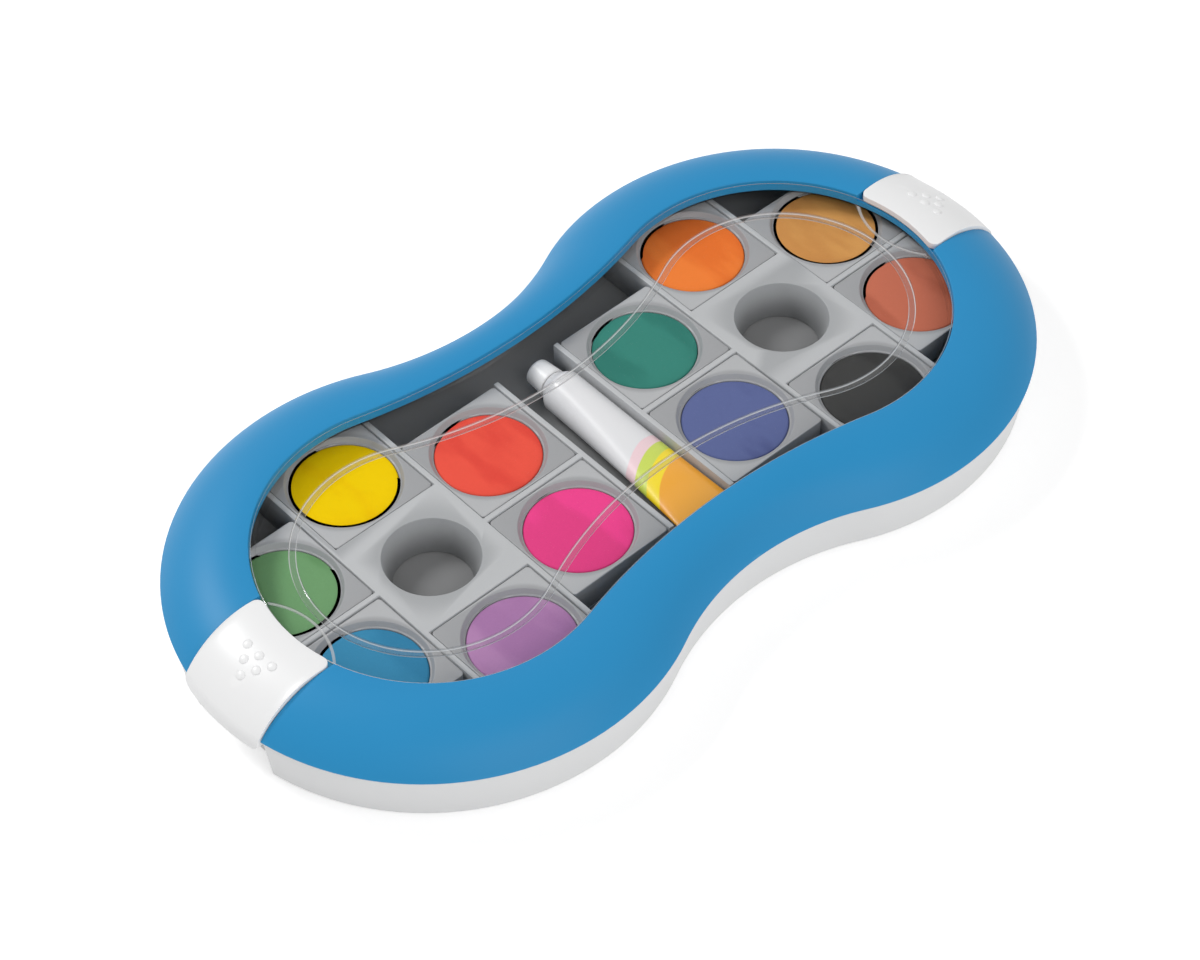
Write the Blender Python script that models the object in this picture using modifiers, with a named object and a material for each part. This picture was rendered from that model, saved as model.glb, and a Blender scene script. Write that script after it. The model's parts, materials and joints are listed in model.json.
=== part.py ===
"""Paint box: a figure-eight watercolour box with a domed ring lid and two end latches.

The box lies flat, long side along X, viewer's side at -Y, resting on Z = 0.
Its plan is two round lobes joined by a waist. A white base holds a charcoal tray,
two light grey racks with twelve colour pans and two water wells, and a small tube of
white. The lid is a blue domed ring round a clear window, held down by two white
latches that turn on stub pins in finger recesses at the ends of the base.
"""

import math

import bmesh
import bpy
from mathutils import Matrix, Vector

MM = 0.001
GAP = 0.3 * MM
OVERLAP = 0.4 * MM
OVERRUN = 6.0 * MM
MERGE = 0.002 * MM

# Tablets of colour and the pans that hold them
TABLET_RADIUS = 15.0 * MM
TABLET_HEIGHT = 5.9 * MM
TABLET_EDGE = 0.5 * MM
PAN_FLOOR = 1.2 * MM
PAN_WALL = 1.0 * MM
PAN_MOUTH_FLARE = 1.3 * MM
PAN_MOUTH_DEPTH = 1.5 * MM
PAN_SIDE_LAND = 0.4 * MM
PAN_END_LAND = 0.65 * MM
PAN_CORNER = 1.2 * MM

# Racks and their water wells
RACK_FLOOR = 1.5 * MM
RACK_WALL = 1.6 * MM
RACK_RIB_PROUD = 0.4 * MM
RACK_PLAY = 1.77 * MM
MIDDLE_RIB = 1.6 * MM
END_WALL_HALF = 29.0 * MM
WELL_MOUTH_RADIUS = 13.55 * MM
WELL_TAPER = 2.55 * MM
WELL_LAND = 5.55 * MM
WELL_WALL = 1.5 * MM

# Tube of white and its cap
TUBE_RADIUS = 6.5 * MM
TUBE_SIDE_GAP = 0.8 * MM
TUBE_BODY_LENGTH = 64.0 * MM
TUBE_END_SPACE = 7.6 * MM
TUBE_SHOULDER_RISE = 3.4 * MM
TUBE_SHOULDER_LAND = 1.5 * MM
TUBE_NECK_RADIUS = 2.6 * MM
TUBE_NECK_LENGTH = 5.4 * MM
TUBE_FOLD_LENGTH = 4.0 * MM
TUBE_FOLD_NARROWING = 0.8 * MM
TUBE_FOLD_HALF_THICK = 0.8 * MM
TUBE_FOLD_X = 0.4 * MM
TUBE_FOLD_RISE = 2.0 * MM
TUBE_REST_THICK = 2.0 * MM
TUBE_REST_INSET = 1.4 * MM
TROUGH_PLAY = 0.6 * MM
CAP_WALL = 1.5 * MM
CAP_END = 1.25 * MM
CAP_TAPER = 0.45 * MM
CAP_CLEARANCE = 0.35 * MM
CAP_ROUND = 0.9 * MM

# Charcoal tray
TRAY_LIFT = 7.0 * MM
TRAY_FLOOR = 1.5 * MM
TRAY_WALL = 1.4 * MM

# White base
BASE_FLOOR = 2.0 * MM
BASE_WALL = 2.3 * MM
BASE_SET_BACK = 0.5 * MM
BASE_DRAFT = 1.8 * MM
BASE_FOOT_ROUND = 2.2 * MM
WAIST_PINCH = 15.1 * MM

# Lid frame, a dome whose section is an arc
FRAME_WIDTH = 23.4 * MM
FRAME_WAIST_WIDTH = 16.8 * MM
FRAME_EDGE = 0.3 * MM
FRAME_THICK = 2.0 * MM
FRAME_LIP_THICK = 1.5 * MM
FRAME_LIP_DROP = 1.8 * MM
FRAME_INNER_WALL = 1.2 * MM
FRAME_INNER_DROP = 4.0 * MM
DOME_RISE = 10.7 * MM
DOME_CREST_RUN = 2.9 * MM

# Window, with a looped ridge and two thumb arcs on its underside
WINDOW_SHIFT = 1.2 * MM
WINDOW_SINK = 0.8 * MM
WINDOW_PLATE = 1.5 * MM
WINDOW_SKIRT = 1.2 * MM
WINDOW_FLANGE = 1.9 * MM
WINDOW_EDGE = 0.3 * MM
HEADROOM = 2.2 * MM
RIDGE_SHIFT = 1.0 * MM
RIDGE_INSET = 13.1 * MM
RIDGE_WAIST_INSET = 19.8 * MM
RIDGE_HALF_WIDTH = 1.1 * MM
RIDGE_TAPER = 0.3 * MM
RIDGE_DEPTH = 1.2 * MM
THUMB_ARC_OUT = 14.4 * MM
THUMB_ARC_RADIUS = 22.5 * MM
THUMB_ARC_HALF_WIDTH = 0.8 * MM

# Latches, their pins and the finger recesses in the base's ends
LATCH_HALF_WIDTH = 15.0 * MM
LATCH_THICK = 2.0 * MM
LATCH_PROUD = 0.5 * MM
LATCH_CORNER = 3.0 * MM
LATCH_SEAT = 8.2 * MM
LATCH_LEG = 3.7 * MM
LATCH_ARM = 1.4 * MM
PIN_RADIUS = 1.1 * MM
PIN_INSET = 5.4 * MM
PIN_BELOW_RIM = 3.7 * MM
PIN_GRIP = 1.9 * MM
BARREL_WALL = 0.8 * MM
RECESS_PLAY = 0.5 * MM

# Counts of points
END_STEPS = 10
FLANK_STEPS = 3
WAIST_STEPS = 5
TURN_STEPS = 28
TUBE_STEPS = 24
CORNER_STEPS = 3

# Pans and racks, worked out from the tablets outwards
SEAT_RADIUS = TABLET_RADIUS + GAP
PAN_MOUTH_RADIUS = SEAT_RADIUS + PAN_MOUTH_FLARE
PAN_WIDTH = 2 * (PAN_MOUTH_RADIUS + PAN_SIDE_LAND)
PAN_LENGTH = 2 * (PAN_MOUTH_RADIUS + PAN_END_LAND)
PAN_HEIGHT = PAN_FLOOR + GAP + TABLET_HEIGHT + PAN_MOUTH_DEPTH
POCKET_HALF_WIDTH = PAN_WIDTH / 2 + GAP
COLUMN_PITCH = 2 * POCKET_HALF_WIDTH + RACK_WALL
RACK_HEIGHT = RACK_FLOOR + GAP + PAN_HEIGHT + RACK_RIB_PROUD
WELL_CELL_HALF = WELL_MOUTH_RADIUS + WELL_LAND
WELL_FLOOR_RADIUS = WELL_MOUTH_RADIUS - WELL_TAPER
ROW_NEAR = MIDDLE_RIB / 2 + GAP + PAN_LENGTH / 2
ROW_FAR = WELL_CELL_HALF + GAP + PAN_LENGTH / 2
SHORT_COLUMN_HALF = ROW_NEAR + PAN_LENGTH / 2 + GAP
LONG_COLUMN_HALF = ROW_FAR + PAN_LENGTH / 2 + GAP
RACK_STEP = POCKET_HALF_WIDTH + RACK_WALL
RACK_EDGE = COLUMN_PITCH + POCKET_HALF_WIDTH
RACK_END = RACK_EDGE + RACK_WALL

# Outlines: distance of a lobe's centre from the middle, its radius, and half the waist
TUBE_FOLD_HALF_WIDTH = TUBE_RADIUS * math.pi / 2 - TUBE_FOLD_NARROWING
TROUGH_HALF_WIDTH = TUBE_FOLD_X + TUBE_FOLD_HALF_WIDTH + TROUGH_PLAY
RACK_REACH = max(
    math.hypot(RACK_EDGE, SHORT_COLUMN_HALF),
    math.hypot(RACK_END, END_WALL_HALF),
    math.hypot(RACK_STEP, LONG_COLUMN_HALF),
)
TRAY_INSET = BASE_SET_BACK + BASE_WALL + BASE_DRAFT + GAP
RIM_LOBE_X = TROUGH_HALF_WIDTH + RACK_END
RIM_RADIUS = RACK_REACH + RACK_PLAY + TRAY_WALL + TRAY_INSET
RIM_WAIST = RIM_RADIUS - WAIST_PINCH
WINDOW_LOBE_X = RIM_LOBE_X - WINDOW_SHIFT
WINDOW_RADIUS = RIM_RADIUS - FRAME_WIDTH
WINDOW_WAIST = RIM_WAIST - FRAME_WAIST_WIDTH
RIDGE_LOBE_X = RIM_LOBE_X + RIDGE_SHIFT
RIDGE_RADIUS = WINDOW_RADIUS - RIDGE_INSET
RIDGE_WAIST = WINDOW_WAIST - RIDGE_WAIST_INSET
LIP_INSET = BASE_SET_BACK + BASE_WALL + GAP

# Heights, from the base's floor up to the dome, and from there back to the rim
TRAY_FLOOR_HEIGHT = BASE_FLOOR + TRAY_LIFT
RACK_BOTTOM = TRAY_FLOOR_HEIGHT + GAP
RACK_TOP = RACK_BOTTOM + RACK_HEIGHT
PAN_BOTTOM = RACK_BOTTOM + RACK_FLOOR + GAP
TABLET_BOTTOM = PAN_BOTTOM + PAN_FLOOR + GAP
TUBE_HEIGHT = TRAY_FLOOR_HEIGHT + GAP + TUBE_RADIUS
TUBE_FOLD_HEIGHT = TUBE_HEIGHT + TUBE_FOLD_RISE
CONTENTS_TOP = max(TUBE_HEIGHT + TUBE_RADIUS, RACK_TOP)
WINDOW_UNDERSIDE = CONTENTS_TOP + HEADROOM + RIDGE_DEPTH
WINDOW_TOP = WINDOW_UNDERSIDE + WINDOW_PLATE
DOME_CREST_HEIGHT = WINDOW_TOP + WINDOW_SINK
FRAME_RIM_HEIGHT = DOME_CREST_HEIGHT - DOME_RISE - FRAME_EDGE
FRAME_LIP_FOOT = FRAME_RIM_HEIGHT - FRAME_LIP_DROP
BASE_RIM_HEIGHT = FRAME_RIM_HEIGHT - GAP
TRAY_RIM_HEIGHT = FRAME_LIP_FOOT - GAP
DOME_RUN = FRAME_WIDTH - DOME_CREST_RUN
DOME_RADIUS = (DOME_RUN**2 + DOME_RISE**2) / (2 * DOME_RISE)
DOME_CENTRE_HEIGHT = DOME_CREST_HEIGHT - DOME_RADIUS
DOME_CREST_RADIUS = WINDOW_RADIUS + DOME_CREST_RUN

# Latches, tube and cap
BARREL_RADIUS = PIN_RADIUS + BARREL_WALL
PIN_X = RIM_LOBE_X + RIM_RADIUS - PIN_INSET
PIN_HEIGHT = BASE_RIM_HEIGHT - PIN_BELOW_RIM
PIN_HALF_LENGTH = LATCH_HALF_WIDTH + GAP + PIN_GRIP
LATCH_FOOT = FRAME_RIM_HEIGHT - LATCH_LEG
RECESS_X = PIN_X - BARREL_RADIUS - RECESS_PLAY
RECESS_HALF_WIDTH = LATCH_HALF_WIDTH + GAP
THUMB_ARC_X = WINDOW_LOBE_X + WINDOW_RADIUS + THUMB_ARC_OUT
TUBE_X = TROUGH_HALF_WIDTH - TUBE_SIDE_GAP - TUBE_RADIUS
TUBE_END_Y = TUBE_END_SPACE + TRAY_INSET + TRAY_WALL - RIM_WAIST
TUBE_FOLD_Y = TUBE_END_Y + TUBE_FOLD_LENGTH
TUBE_SHOULDER_Y = TUBE_FOLD_Y + TUBE_BODY_LENGTH
TUBE_REST_HALF_WIDTH = TUBE_FOLD_HALF_WIDTH - TUBE_REST_INSET
CAP_START_Y = TUBE_SHOULDER_Y + TUBE_SHOULDER_RISE + GAP
CAP_RADIUS = TUBE_NECK_RADIUS + CAP_CLEARANCE + CAP_WALL
CAP_TIP_RADIUS = CAP_RADIUS - CAP_TAPER
CAP_LENGTH = TUBE_NECK_LENGTH + CAP_CLEARANCE + CAP_END

PAN_PLACES = (
    ("green", -1, 1, ROW_NEAR),
    ("blue", -1, 1, -ROW_NEAR),
    ("yellow", -1, 0, ROW_FAR),
    ("purple", -1, 0, -ROW_FAR),
    ("red", -1, -1, ROW_NEAR),
    ("magenta", -1, -1, -ROW_NEAR),
    ("teal", 1, -1, ROW_NEAR),
    ("indigo", 1, -1, -ROW_NEAR),
    ("orange", 1, 0, ROW_FAR),
    ("black", 1, 0, -ROW_FAR),
    ("amber", 1, 1, ROW_NEAR),
    ("brick", 1, 1, -ROW_NEAR),
)

TABLET_COLOURS = {
    "green": (0.20, 0.40, 0.20),
    "blue": (0.04, 0.21, 0.36),
    "yellow": (0.95, 0.60, 0.01),
    "purple": (0.31, 0.17, 0.32),
    "red": (0.80, 0.09, 0.05),
    "magenta": (0.74, 0.05, 0.20),
    "teal": (0.05, 0.25, 0.19),
    "indigo": (0.10, 0.13, 0.31),
    "orange": (0.82, 0.18, 0.03),
    "black": (0.02, 0.02, 0.02),
    "amber": (0.72, 0.32, 0.05),
    "brick": (0.56, 0.14, 0.07),
}


def clear_scene():
    for thing in list(bpy.data.objects):
        bpy.data.objects.remove(thing, do_unlink=True)


def make_collection(name):
    collection = bpy.data.collections.new(name)
    bpy.context.scene.collection.children.link(collection)
    return collection


def make_material(name, colour, roughness, alpha=1.0, metallic=0.0):
    material = bpy.data.materials.new(name)
    material.use_nodes = True
    shader = material.node_tree.nodes["Principled BSDF"]
    shader.inputs["Base Color"].default_value = (*colour, 1.0)
    shader.inputs["Roughness"].default_value = roughness
    shader.inputs["Metallic"].default_value = metallic
    shader.inputs["Alpha"].default_value = alpha
    return material


def add_object(name, mesh, collection, material=None):
    thing = bpy.data.objects.new(name, mesh)
    collection.objects.link(thing)
    if material is not None and not mesh.materials:
        mesh.materials.append(material)
    return thing


def finish_shading(mesh, angle_degrees=35.0):
    mesh.shade_smooth()
    mesh.set_sharp_from_angle(angle=math.radians(angle_degrees))


def mesh_from(name, work):
    bmesh.ops.recalc_face_normals(work, faces=work.faces)
    mesh = bpy.data.meshes.new(name)
    work.to_mesh(mesh)
    work.free()
    return mesh


def loft(name, loops, closed=False):
    """Skin through loops of equal count, capped at both ends or closed on itself."""
    work = bmesh.new()
    rows = []
    for loop in loops:
        rows.append([work.verts.new(point) for point in loop])
    count = len(rows[0])
    pairs = list(zip(rows, rows[1:]))
    if closed:
        pairs.append((rows[-1], rows[0]))
    for first, second in pairs:
        for index in range(count):
            after = (index + 1) % count
            work.faces.new((first[index], first[after], second[after], second[index]))
    if not closed:
        work.faces.new(rows[0])
        work.faces.new(rows[-1])
    return mesh_from(name, work)


def box_mesh(name, low, high):
    work = bmesh.new()
    bmesh.ops.create_cube(work, size=1.0)
    low = Vector(low)
    high = Vector(high)
    size = high - low
    bmesh.ops.scale(work, vec=size, verts=work.verts)
    bmesh.ops.translate(work, vec=(low + high) / 2, verts=work.verts)
    return mesh_from(name, work)


def bar_along_y(name, centre, radius, half_length, steps=TUBE_STEPS):
    work = bmesh.new()
    bmesh.ops.create_cone(
        work, cap_ends=True, segments=steps, radius1=radius, radius2=radius, depth=2 * half_length
    )
    turn = Matrix.Rotation(math.radians(90.0), 4, "X")
    bmesh.ops.transform(work, matrix=Matrix.Translation(centre) @ turn, verts=work.verts)
    return mesh_from(name, work)


def prism(name, outline, bottom, top):
    """Upright solid over a flat outline."""
    loops = [[(x, y, height) for x, y in outline] for height in (bottom, top)]
    return loft(name, loops)


def turned(name, profile, steps=TURN_STEPS):
    """Solid of revolution about Z from a profile that runs down its outer side."""
    work = bmesh.new()
    points = [work.verts.new((radius, 0.0, height)) for radius, height in profile]
    for first, second in zip(points, points[1:]):
        work.edges.new((first, second))
    mesh = bpy.data.meshes.new(name)
    work.to_mesh(mesh)
    work.free()
    return screwed(name, mesh, steps)


def screwed(name, mesh, steps):
    helper = bpy.data.objects.new(name + "_profile", mesh)
    bpy.context.scene.collection.objects.link(helper)
    screw = helper.modifiers.new("turn", "SCREW")
    screw.axis = "Z"
    screw.angle = math.tau
    screw.steps = steps
    screw.render_steps = steps
    screw.use_merge_vertices = True
    screw.merge_threshold = MERGE
    result = baked(name, helper)
    bpy.data.objects.remove(helper, do_unlink=True)
    return result


def baked(name, thing):
    """The object's evaluated mesh as a mesh of its own, doubles merged."""
    bpy.context.view_layer.update()
    graph = bpy.context.evaluated_depsgraph_get()
    mesh = bpy.data.meshes.new_from_object(thing.evaluated_get(graph))
    mesh.name = name
    work = bmesh.new()
    work.from_mesh(mesh)
    bmesh.ops.remove_doubles(work, verts=work.verts, dist=MERGE)
    bmesh.ops.recalc_face_normals(work, faces=work.faces)
    work.to_mesh(mesh)
    work.free()
    return mesh


def combine(target, tool_mesh, operation, tools):
    """Cut or join one mesh with another through a Boolean; gives the tool back."""
    tool = add_object(tool_mesh.name, tool_mesh, tools)
    tool.hide_render = True
    tool.display_type = "WIRE"
    step = target.modifiers.new(tool.name, "BOOLEAN")
    step.operation = operation
    step.object = tool
    return tool


def cut(target, tool_mesh, tools):
    return combine(target, tool_mesh, "DIFFERENCE", tools)


def join(target, tool_mesh, tools):
    return combine(target, tool_mesh, "UNION", tools)


def arc(centre, radius, start, end, steps):
    """Points along an arc, the last one left for what follows."""
    points = []
    for index in range(steps):
        angle = start + (end - start) * index / steps
        x = centre[0] + radius * math.cos(angle)
        y = centre[1] + radius * math.sin(angle)
        points.append((x, y))
    return points


def figure_eight(lobe_x, lobe_radius, waist, inset=0.0):
    """Closed outline of two lobes and a waist, moved inwards by inset."""
    across = lobe_x**2 + waist**2 - lobe_radius**2
    waist_radius = across / (2 * (lobe_radius - waist))
    waist_y = waist + waist_radius
    touch = math.atan2(waist_y, -lobe_x)
    radius = lobe_radius - inset
    hollow = waist_radius + inset
    quarter = math.pi / 2
    side = arc((lobe_x, 0.0), radius, 0.0, quarter, END_STEPS)
    side += arc((lobe_x, 0.0), radius, quarter, touch, FLANK_STEPS)
    side += arc((0.0, waist_y), hollow, touch - math.pi, -quarter, WAIST_STEPS)
    half = side + [(0.0, waist_y - hollow)]
    half += [(-x, y) for x, y in reversed(side)]
    return half + [(x, -y) for x, y in reversed(half[1:-1])]


def rim_outline(inset=0.0):
    return figure_eight(RIM_LOBE_X, RIM_RADIUS, RIM_WAIST, inset)


def window_outline(inset=0.0):
    return figure_eight(WINDOW_LOBE_X, WINDOW_RADIUS, WINDOW_WAIST, inset)


def ridge_outline(inset=0.0):
    return figure_eight(RIDGE_LOBE_X, RIDGE_RADIUS, RIDGE_WAIST, inset)


def at_height(outline, height):
    return [(x, y, height) for x, y in outline]


def frame_share(radius):
    """Share of the way from the window's edge to the rim, for a radius at the lobe."""
    return (radius - WINDOW_RADIUS) / FRAME_WIDTH


def frame_outline(radius):
    """Outline between the window's and the rim's that has a given radius at the lobes."""
    share = frame_share(radius)
    lobe_x = WINDOW_LOBE_X + share * WINDOW_SHIFT
    waist = WINDOW_WAIST + share * FRAME_WAIST_WIDTH
    return figure_eight(lobe_x, radius, waist)


def dome_height(radius, below=0.0):
    """Height of the dome's arc, or of the arc that lies below it by a thickness."""
    run = radius - DOME_CREST_RADIUS
    return DOME_CENTRE_HEIGHT + math.sqrt((DOME_RADIUS - below) ** 2 - run**2)


def dome_run(height, below=0.0):
    """Radius at which the dome's arc, or one below it, comes down to a height."""
    drop = height - DOME_CENTRE_HEIGHT
    return DOME_CREST_RADIUS + math.sqrt((DOME_RADIUS - below) ** 2 - drop**2)


def lobe_point(radius, y):
    """X of the frame's outline of one radius at a distance from the long axis."""
    centre = WINDOW_LOBE_X + frame_share(radius) * WINDOW_SHIFT
    return centre + math.sqrt(radius**2 - y**2)


def end_area(radius, half_width, far_x, side, steps=8):
    """Flat outline at one end of the box: an arc on the inside, straight further out."""
    points = []
    for index in range(steps + 1):
        y = half_width * (2 * index / steps - 1)
        points.append((side * lobe_point(radius, y), y))
    points.append((side * far_x, half_width))
    points.append((side * far_x, -half_width))
    return points


def pan_centre(side, column, row_y):
    return (side * (RIM_LOBE_X + column * COLUMN_PITCH), row_y)


def make_base(parts, tools, material):
    wall_top = BASE_SET_BACK
    wall_foot = BASE_SET_BACK + BASE_DRAFT
    rounding = BASE_FOOT_ROUND
    loops = []
    for turn_share in (0.0, 0.25, 0.5, 0.75, 1.0):
        angle = math.pi / 2 * turn_share
        inset = wall_foot + rounding * (1 - math.sin(angle))
        loops.append(at_height(rim_outline(inset), rounding * (1 - math.cos(angle))))
    loops.append(at_height(rim_outline(wall_top), BASE_RIM_HEIGHT))
    base = add_object("base_shell", loft("base_shell", loops), parts, material)
    slope = BASE_DRAFT / (BASE_RIM_HEIGHT - BASE_FLOOR)
    above_rim = wall_top + BASE_WALL - slope * OVERRUN
    inside = loft("base_inside", [
        at_height(rim_outline(wall_foot + BASE_WALL), BASE_FLOOR),
        at_height(rim_outline(above_rim), BASE_RIM_HEIGHT + OVERRUN),
    ])
    hollow = cut(base, inside, tools)
    bottom = -OVERRUN
    top = BASE_RIM_HEIGHT + 2 * OVERRUN
    for side in (-1, 1):
        cut(hollow, recess_block(f"base_wall_{side}", side, BASE_WALL, bottom, top), tools)
        hole = bar_along_y(
            f"pin_hole_{side}", (side * PIN_X, 0.0, PIN_HEIGHT), PIN_RADIUS + GAP,
            RECESS_HALF_WIDTH + BASE_WALL + OVERLAP,
        )
        cut(base, hole, tools)
        cut(base, recess_block(f"base_recess_{side}", side, 0.0, bottom, top), tools)
    finish_shading(base.data)
    return base


def recess_block(name, side, grown, bottom, top):
    """Box that fills the finger recess of one end, grown by the thickness of walls round it."""
    half = RECESS_HALF_WIDTH + grown
    inner = RECESS_X - grown
    outer = RIM_LOBE_X + RIM_RADIUS + OVERRUN
    xs = sorted((side * inner, side * outer))
    return box_mesh(name, (xs[0], -half, bottom), (xs[1], half, top))


def make_tray(parts, tools, material):
    outer = rim_outline(TRAY_INSET)
    inner = rim_outline(TRAY_INSET + TRAY_WALL)
    foot = BASE_FLOOR + GAP
    bottom = foot - 2 * OVERRUN
    top = TRAY_RIM_HEIGHT + 2 * OVERRUN
    tray = add_object("inner_tray", prism("inner_tray", outer, foot, TRAY_RIM_HEIGHT), parts, material)
    hollows = (
        ("under", foot - OVERRUN, TRAY_FLOOR_HEIGHT - TRAY_FLOOR),
        ("over", TRAY_FLOOR_HEIGHT, TRAY_RIM_HEIGHT + OVERRUN),
    )
    notch_grown = BASE_WALL + GAP
    wall_grown = notch_grown + TRAY_WALL
    for place, hollow_bottom, hollow_top in hollows:
        inside = prism("tray_inside_" + place, inner, hollow_bottom, hollow_top)
        hollow = cut(tray, inside, tools)
        for side in (-1, 1):
            wall_name = f"tray_wall_{place}_{side}"
            cut(hollow, recess_block(wall_name, side, wall_grown, bottom, top), tools)
    for side in (-1, 1):
        cut(tray, recess_block(f"tray_notch_{side}", side, notch_grown, bottom, top), tools)
    rest_foot = TRAY_FLOOR_HEIGHT - OVERLAP
    rest_top = TUBE_FOLD_HEIGHT - TUBE_FOLD_HALF_THICK - GAP
    rest = box_mesh(
        "tube_rest",
        (TUBE_FOLD_X - TUBE_REST_HALF_WIDTH, TUBE_FOLD_Y - TUBE_REST_THICK, rest_foot),
        (TUBE_FOLD_X + TUBE_REST_HALF_WIDTH, TUBE_FOLD_Y, rest_top),
    )
    join(tray, rest, tools)
    finish_shading(tray.data)
    return tray


def rack_outline(side):
    """Stepped plan of a rack: two short columns of pans beside a long one."""
    open_edge = RACK_EDGE - OVERLAP
    quarter = [
        (RACK_END, END_WALL_HALF),
        (open_edge, END_WALL_HALF),
        (open_edge, SHORT_COLUMN_HALF),
        (RACK_STEP, SHORT_COLUMN_HALF),
        (RACK_STEP, LONG_COLUMN_HALF),
        (-RACK_STEP, LONG_COLUMN_HALF),
        (-RACK_STEP, SHORT_COLUMN_HALF),
        (-RACK_END, SHORT_COLUMN_HALF),
    ]
    points = quarter + [(x, -y) for x, y in reversed(quarter)]
    return [(side * (RIM_LOBE_X + x), y) for x, y in points]


def make_rack(name, side, parts, tools, material):
    body = prism(name, rack_outline(side), RACK_BOTTOM, RACK_TOP)
    rack = add_object(name, body, parts, material)
    centre_x = side * RIM_LOBE_X
    floor_top = RACK_BOTTOM + RACK_FLOOR
    for column, near, far in (
        (-1, MIDDLE_RIB / 2, ROW_NEAR + PAN_LENGTH),
        (0, WELL_CELL_HALF, ROW_FAR + PAN_LENGTH),
        (1, MIDDLE_RIB / 2, ROW_NEAR + PAN_LENGTH),
    ):
        x = side * (RIM_LOBE_X + column * COLUMN_PITCH)
        for hand in (-1, 1):
            ys = sorted((hand * near, hand * far))
            pocket = box_mesh(
                f"pocket_{side}_{column}_{hand}",
                (x - POCKET_HALF_WIDTH, ys[0], floor_top),
                (x + POCKET_HALF_WIDTH, ys[1], RACK_TOP + OVERRUN),
            )
            cut(rack, pocket, tools)
    hollow_half = WELL_CELL_HALF - WELL_WALL
    hollow_top = RACK_TOP - RACK_FLOOR
    hollow = box_mesh(
        f"cell_hollow_{side}",
        (centre_x - POCKET_HALF_WIDTH + WELL_WALL, -hollow_half, RACK_BOTTOM - OVERRUN),
        (centre_x + POCKET_HALF_WIDTH - WELL_WALL, hollow_half, hollow_top),
    )
    cut(rack, hollow, tools)
    sleeve = turned(
        f"well_sleeve_{side}",
        (
            (0.0, hollow_top + OVERLAP),
            (WELL_MOUTH_RADIUS + WELL_WALL, hollow_top + OVERLAP),
            (WELL_FLOOR_RADIUS + WELL_WALL, RACK_BOTTOM),
            (0.0, RACK_BOTTOM),
        ),
    )
    slope = (WELL_MOUTH_RADIUS - WELL_FLOOR_RADIUS) / RACK_HEIGHT
    bore = turned(
        f"well_bore_{side}",
        (
            (0.0, RACK_TOP + OVERRUN),
            (WELL_MOUTH_RADIUS + slope * OVERRUN, RACK_TOP + OVERRUN),
            (WELL_FLOOR_RADIUS - slope * OVERRUN, RACK_BOTTOM - OVERRUN),
            (0.0, RACK_BOTTOM - OVERRUN),
        ),
    )
    for mesh in (sleeve, bore):
        mesh.transform(Matrix.Translation((centre_x, 0.0, 0.0)))
    join(rack, sleeve, tools)
    cut(rack, bore, tools)
    finish_shading(rack.data)
    return rack


def pan_mesh(tools):
    """One pan about its own centre, standing on Z = 0, with its round stepped recess."""
    half_x = PAN_WIDTH / 2 - PAN_CORNER
    half_y = PAN_LENGTH / 2 - PAN_CORNER
    outline = []
    for turn, (sign_x, sign_y) in enumerate(((1, 1), (-1, 1), (-1, -1), (1, -1))):
        start = math.pi / 2 * turn
        corner = (sign_x * half_x, sign_y * half_y)
        outline += arc(corner, PAN_CORNER, start, start + math.pi / 2, CORNER_STEPS)
        end = start + math.pi / 2
        outline.append(
            (corner[0] + PAN_CORNER * math.cos(end), corner[1] + PAN_CORNER * math.sin(end))
        )
    mesh = prism("pan_blank", outline, 0.0, PAN_HEIGHT)
    blank = add_object("pan_blank", mesh, tools)
    hollow_x = PAN_WIDTH / 2 - PAN_WALL
    hollow_y = PAN_LENGTH / 2 - PAN_WALL
    hollow = box_mesh(
        "pan_hollow",
        (-hollow_x, -hollow_y, -OVERRUN),
        (hollow_x, hollow_y, PAN_HEIGHT - PAN_MOUTH_DEPTH - PAN_WALL),
    )
    cup = turned(
        "pan_cup",
        (
            (0.0, PAN_HEIGHT - PAN_WALL),
            (SEAT_RADIUS + PAN_WALL, PAN_HEIGHT - PAN_WALL),
            (SEAT_RADIUS + PAN_WALL, 0.0),
            (0.0, 0.0),
        ),
    )
    cut(blank, hollow, tools)
    join(blank, cup, tools)
    recess = turned(
        "pan_recess",
        (
            (0.0, PAN_HEIGHT + OVERLAP),
            (PAN_MOUTH_RADIUS, PAN_HEIGHT + OVERLAP),
            (SEAT_RADIUS + PAN_MOUTH_FLARE / 3, PAN_HEIGHT - PAN_MOUTH_DEPTH),
            (SEAT_RADIUS, PAN_HEIGHT - PAN_MOUTH_DEPTH),
            (SEAT_RADIUS, PAN_FLOOR),
            (0.0, PAN_FLOOR),
        ),
    )
    cut(blank, recess, tools)
    result = baked("pan", blank)
    bpy.data.objects.remove(blank, do_unlink=True)
    finish_shading(result)
    return result


def tablet_mesh():
    mesh = turned(
        "tablet",
        (
            (0.0, TABLET_HEIGHT),
            (TABLET_RADIUS - TABLET_EDGE, TABLET_HEIGHT),
            (TABLET_RADIUS, TABLET_HEIGHT - TABLET_EDGE),
            (TABLET_RADIUS, 0.0),
            (0.0, 0.0),
        ),
    )
    finish_shading(mesh)
    return mesh


def make_pans(parts, tools, material):
    cup = pan_mesh(tools)
    cup.materials.append(material)
    disc = tablet_mesh()
    for colour, side, column, row_y in PAN_PLACES:
        x, y = pan_centre(side, column, row_y)
        pan = add_object(f"pan_{colour}", cup, parts)
        pan.location = (x, y, PAN_BOTTOM)
        paint = make_material(f"paint_{colour}", TABLET_COLOURS[colour], 0.8)
        tablet = add_object(f"paint_{colour}", disc.copy(), parts, paint)
        tablet.location = (x, y, TABLET_BOTTOM)


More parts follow.
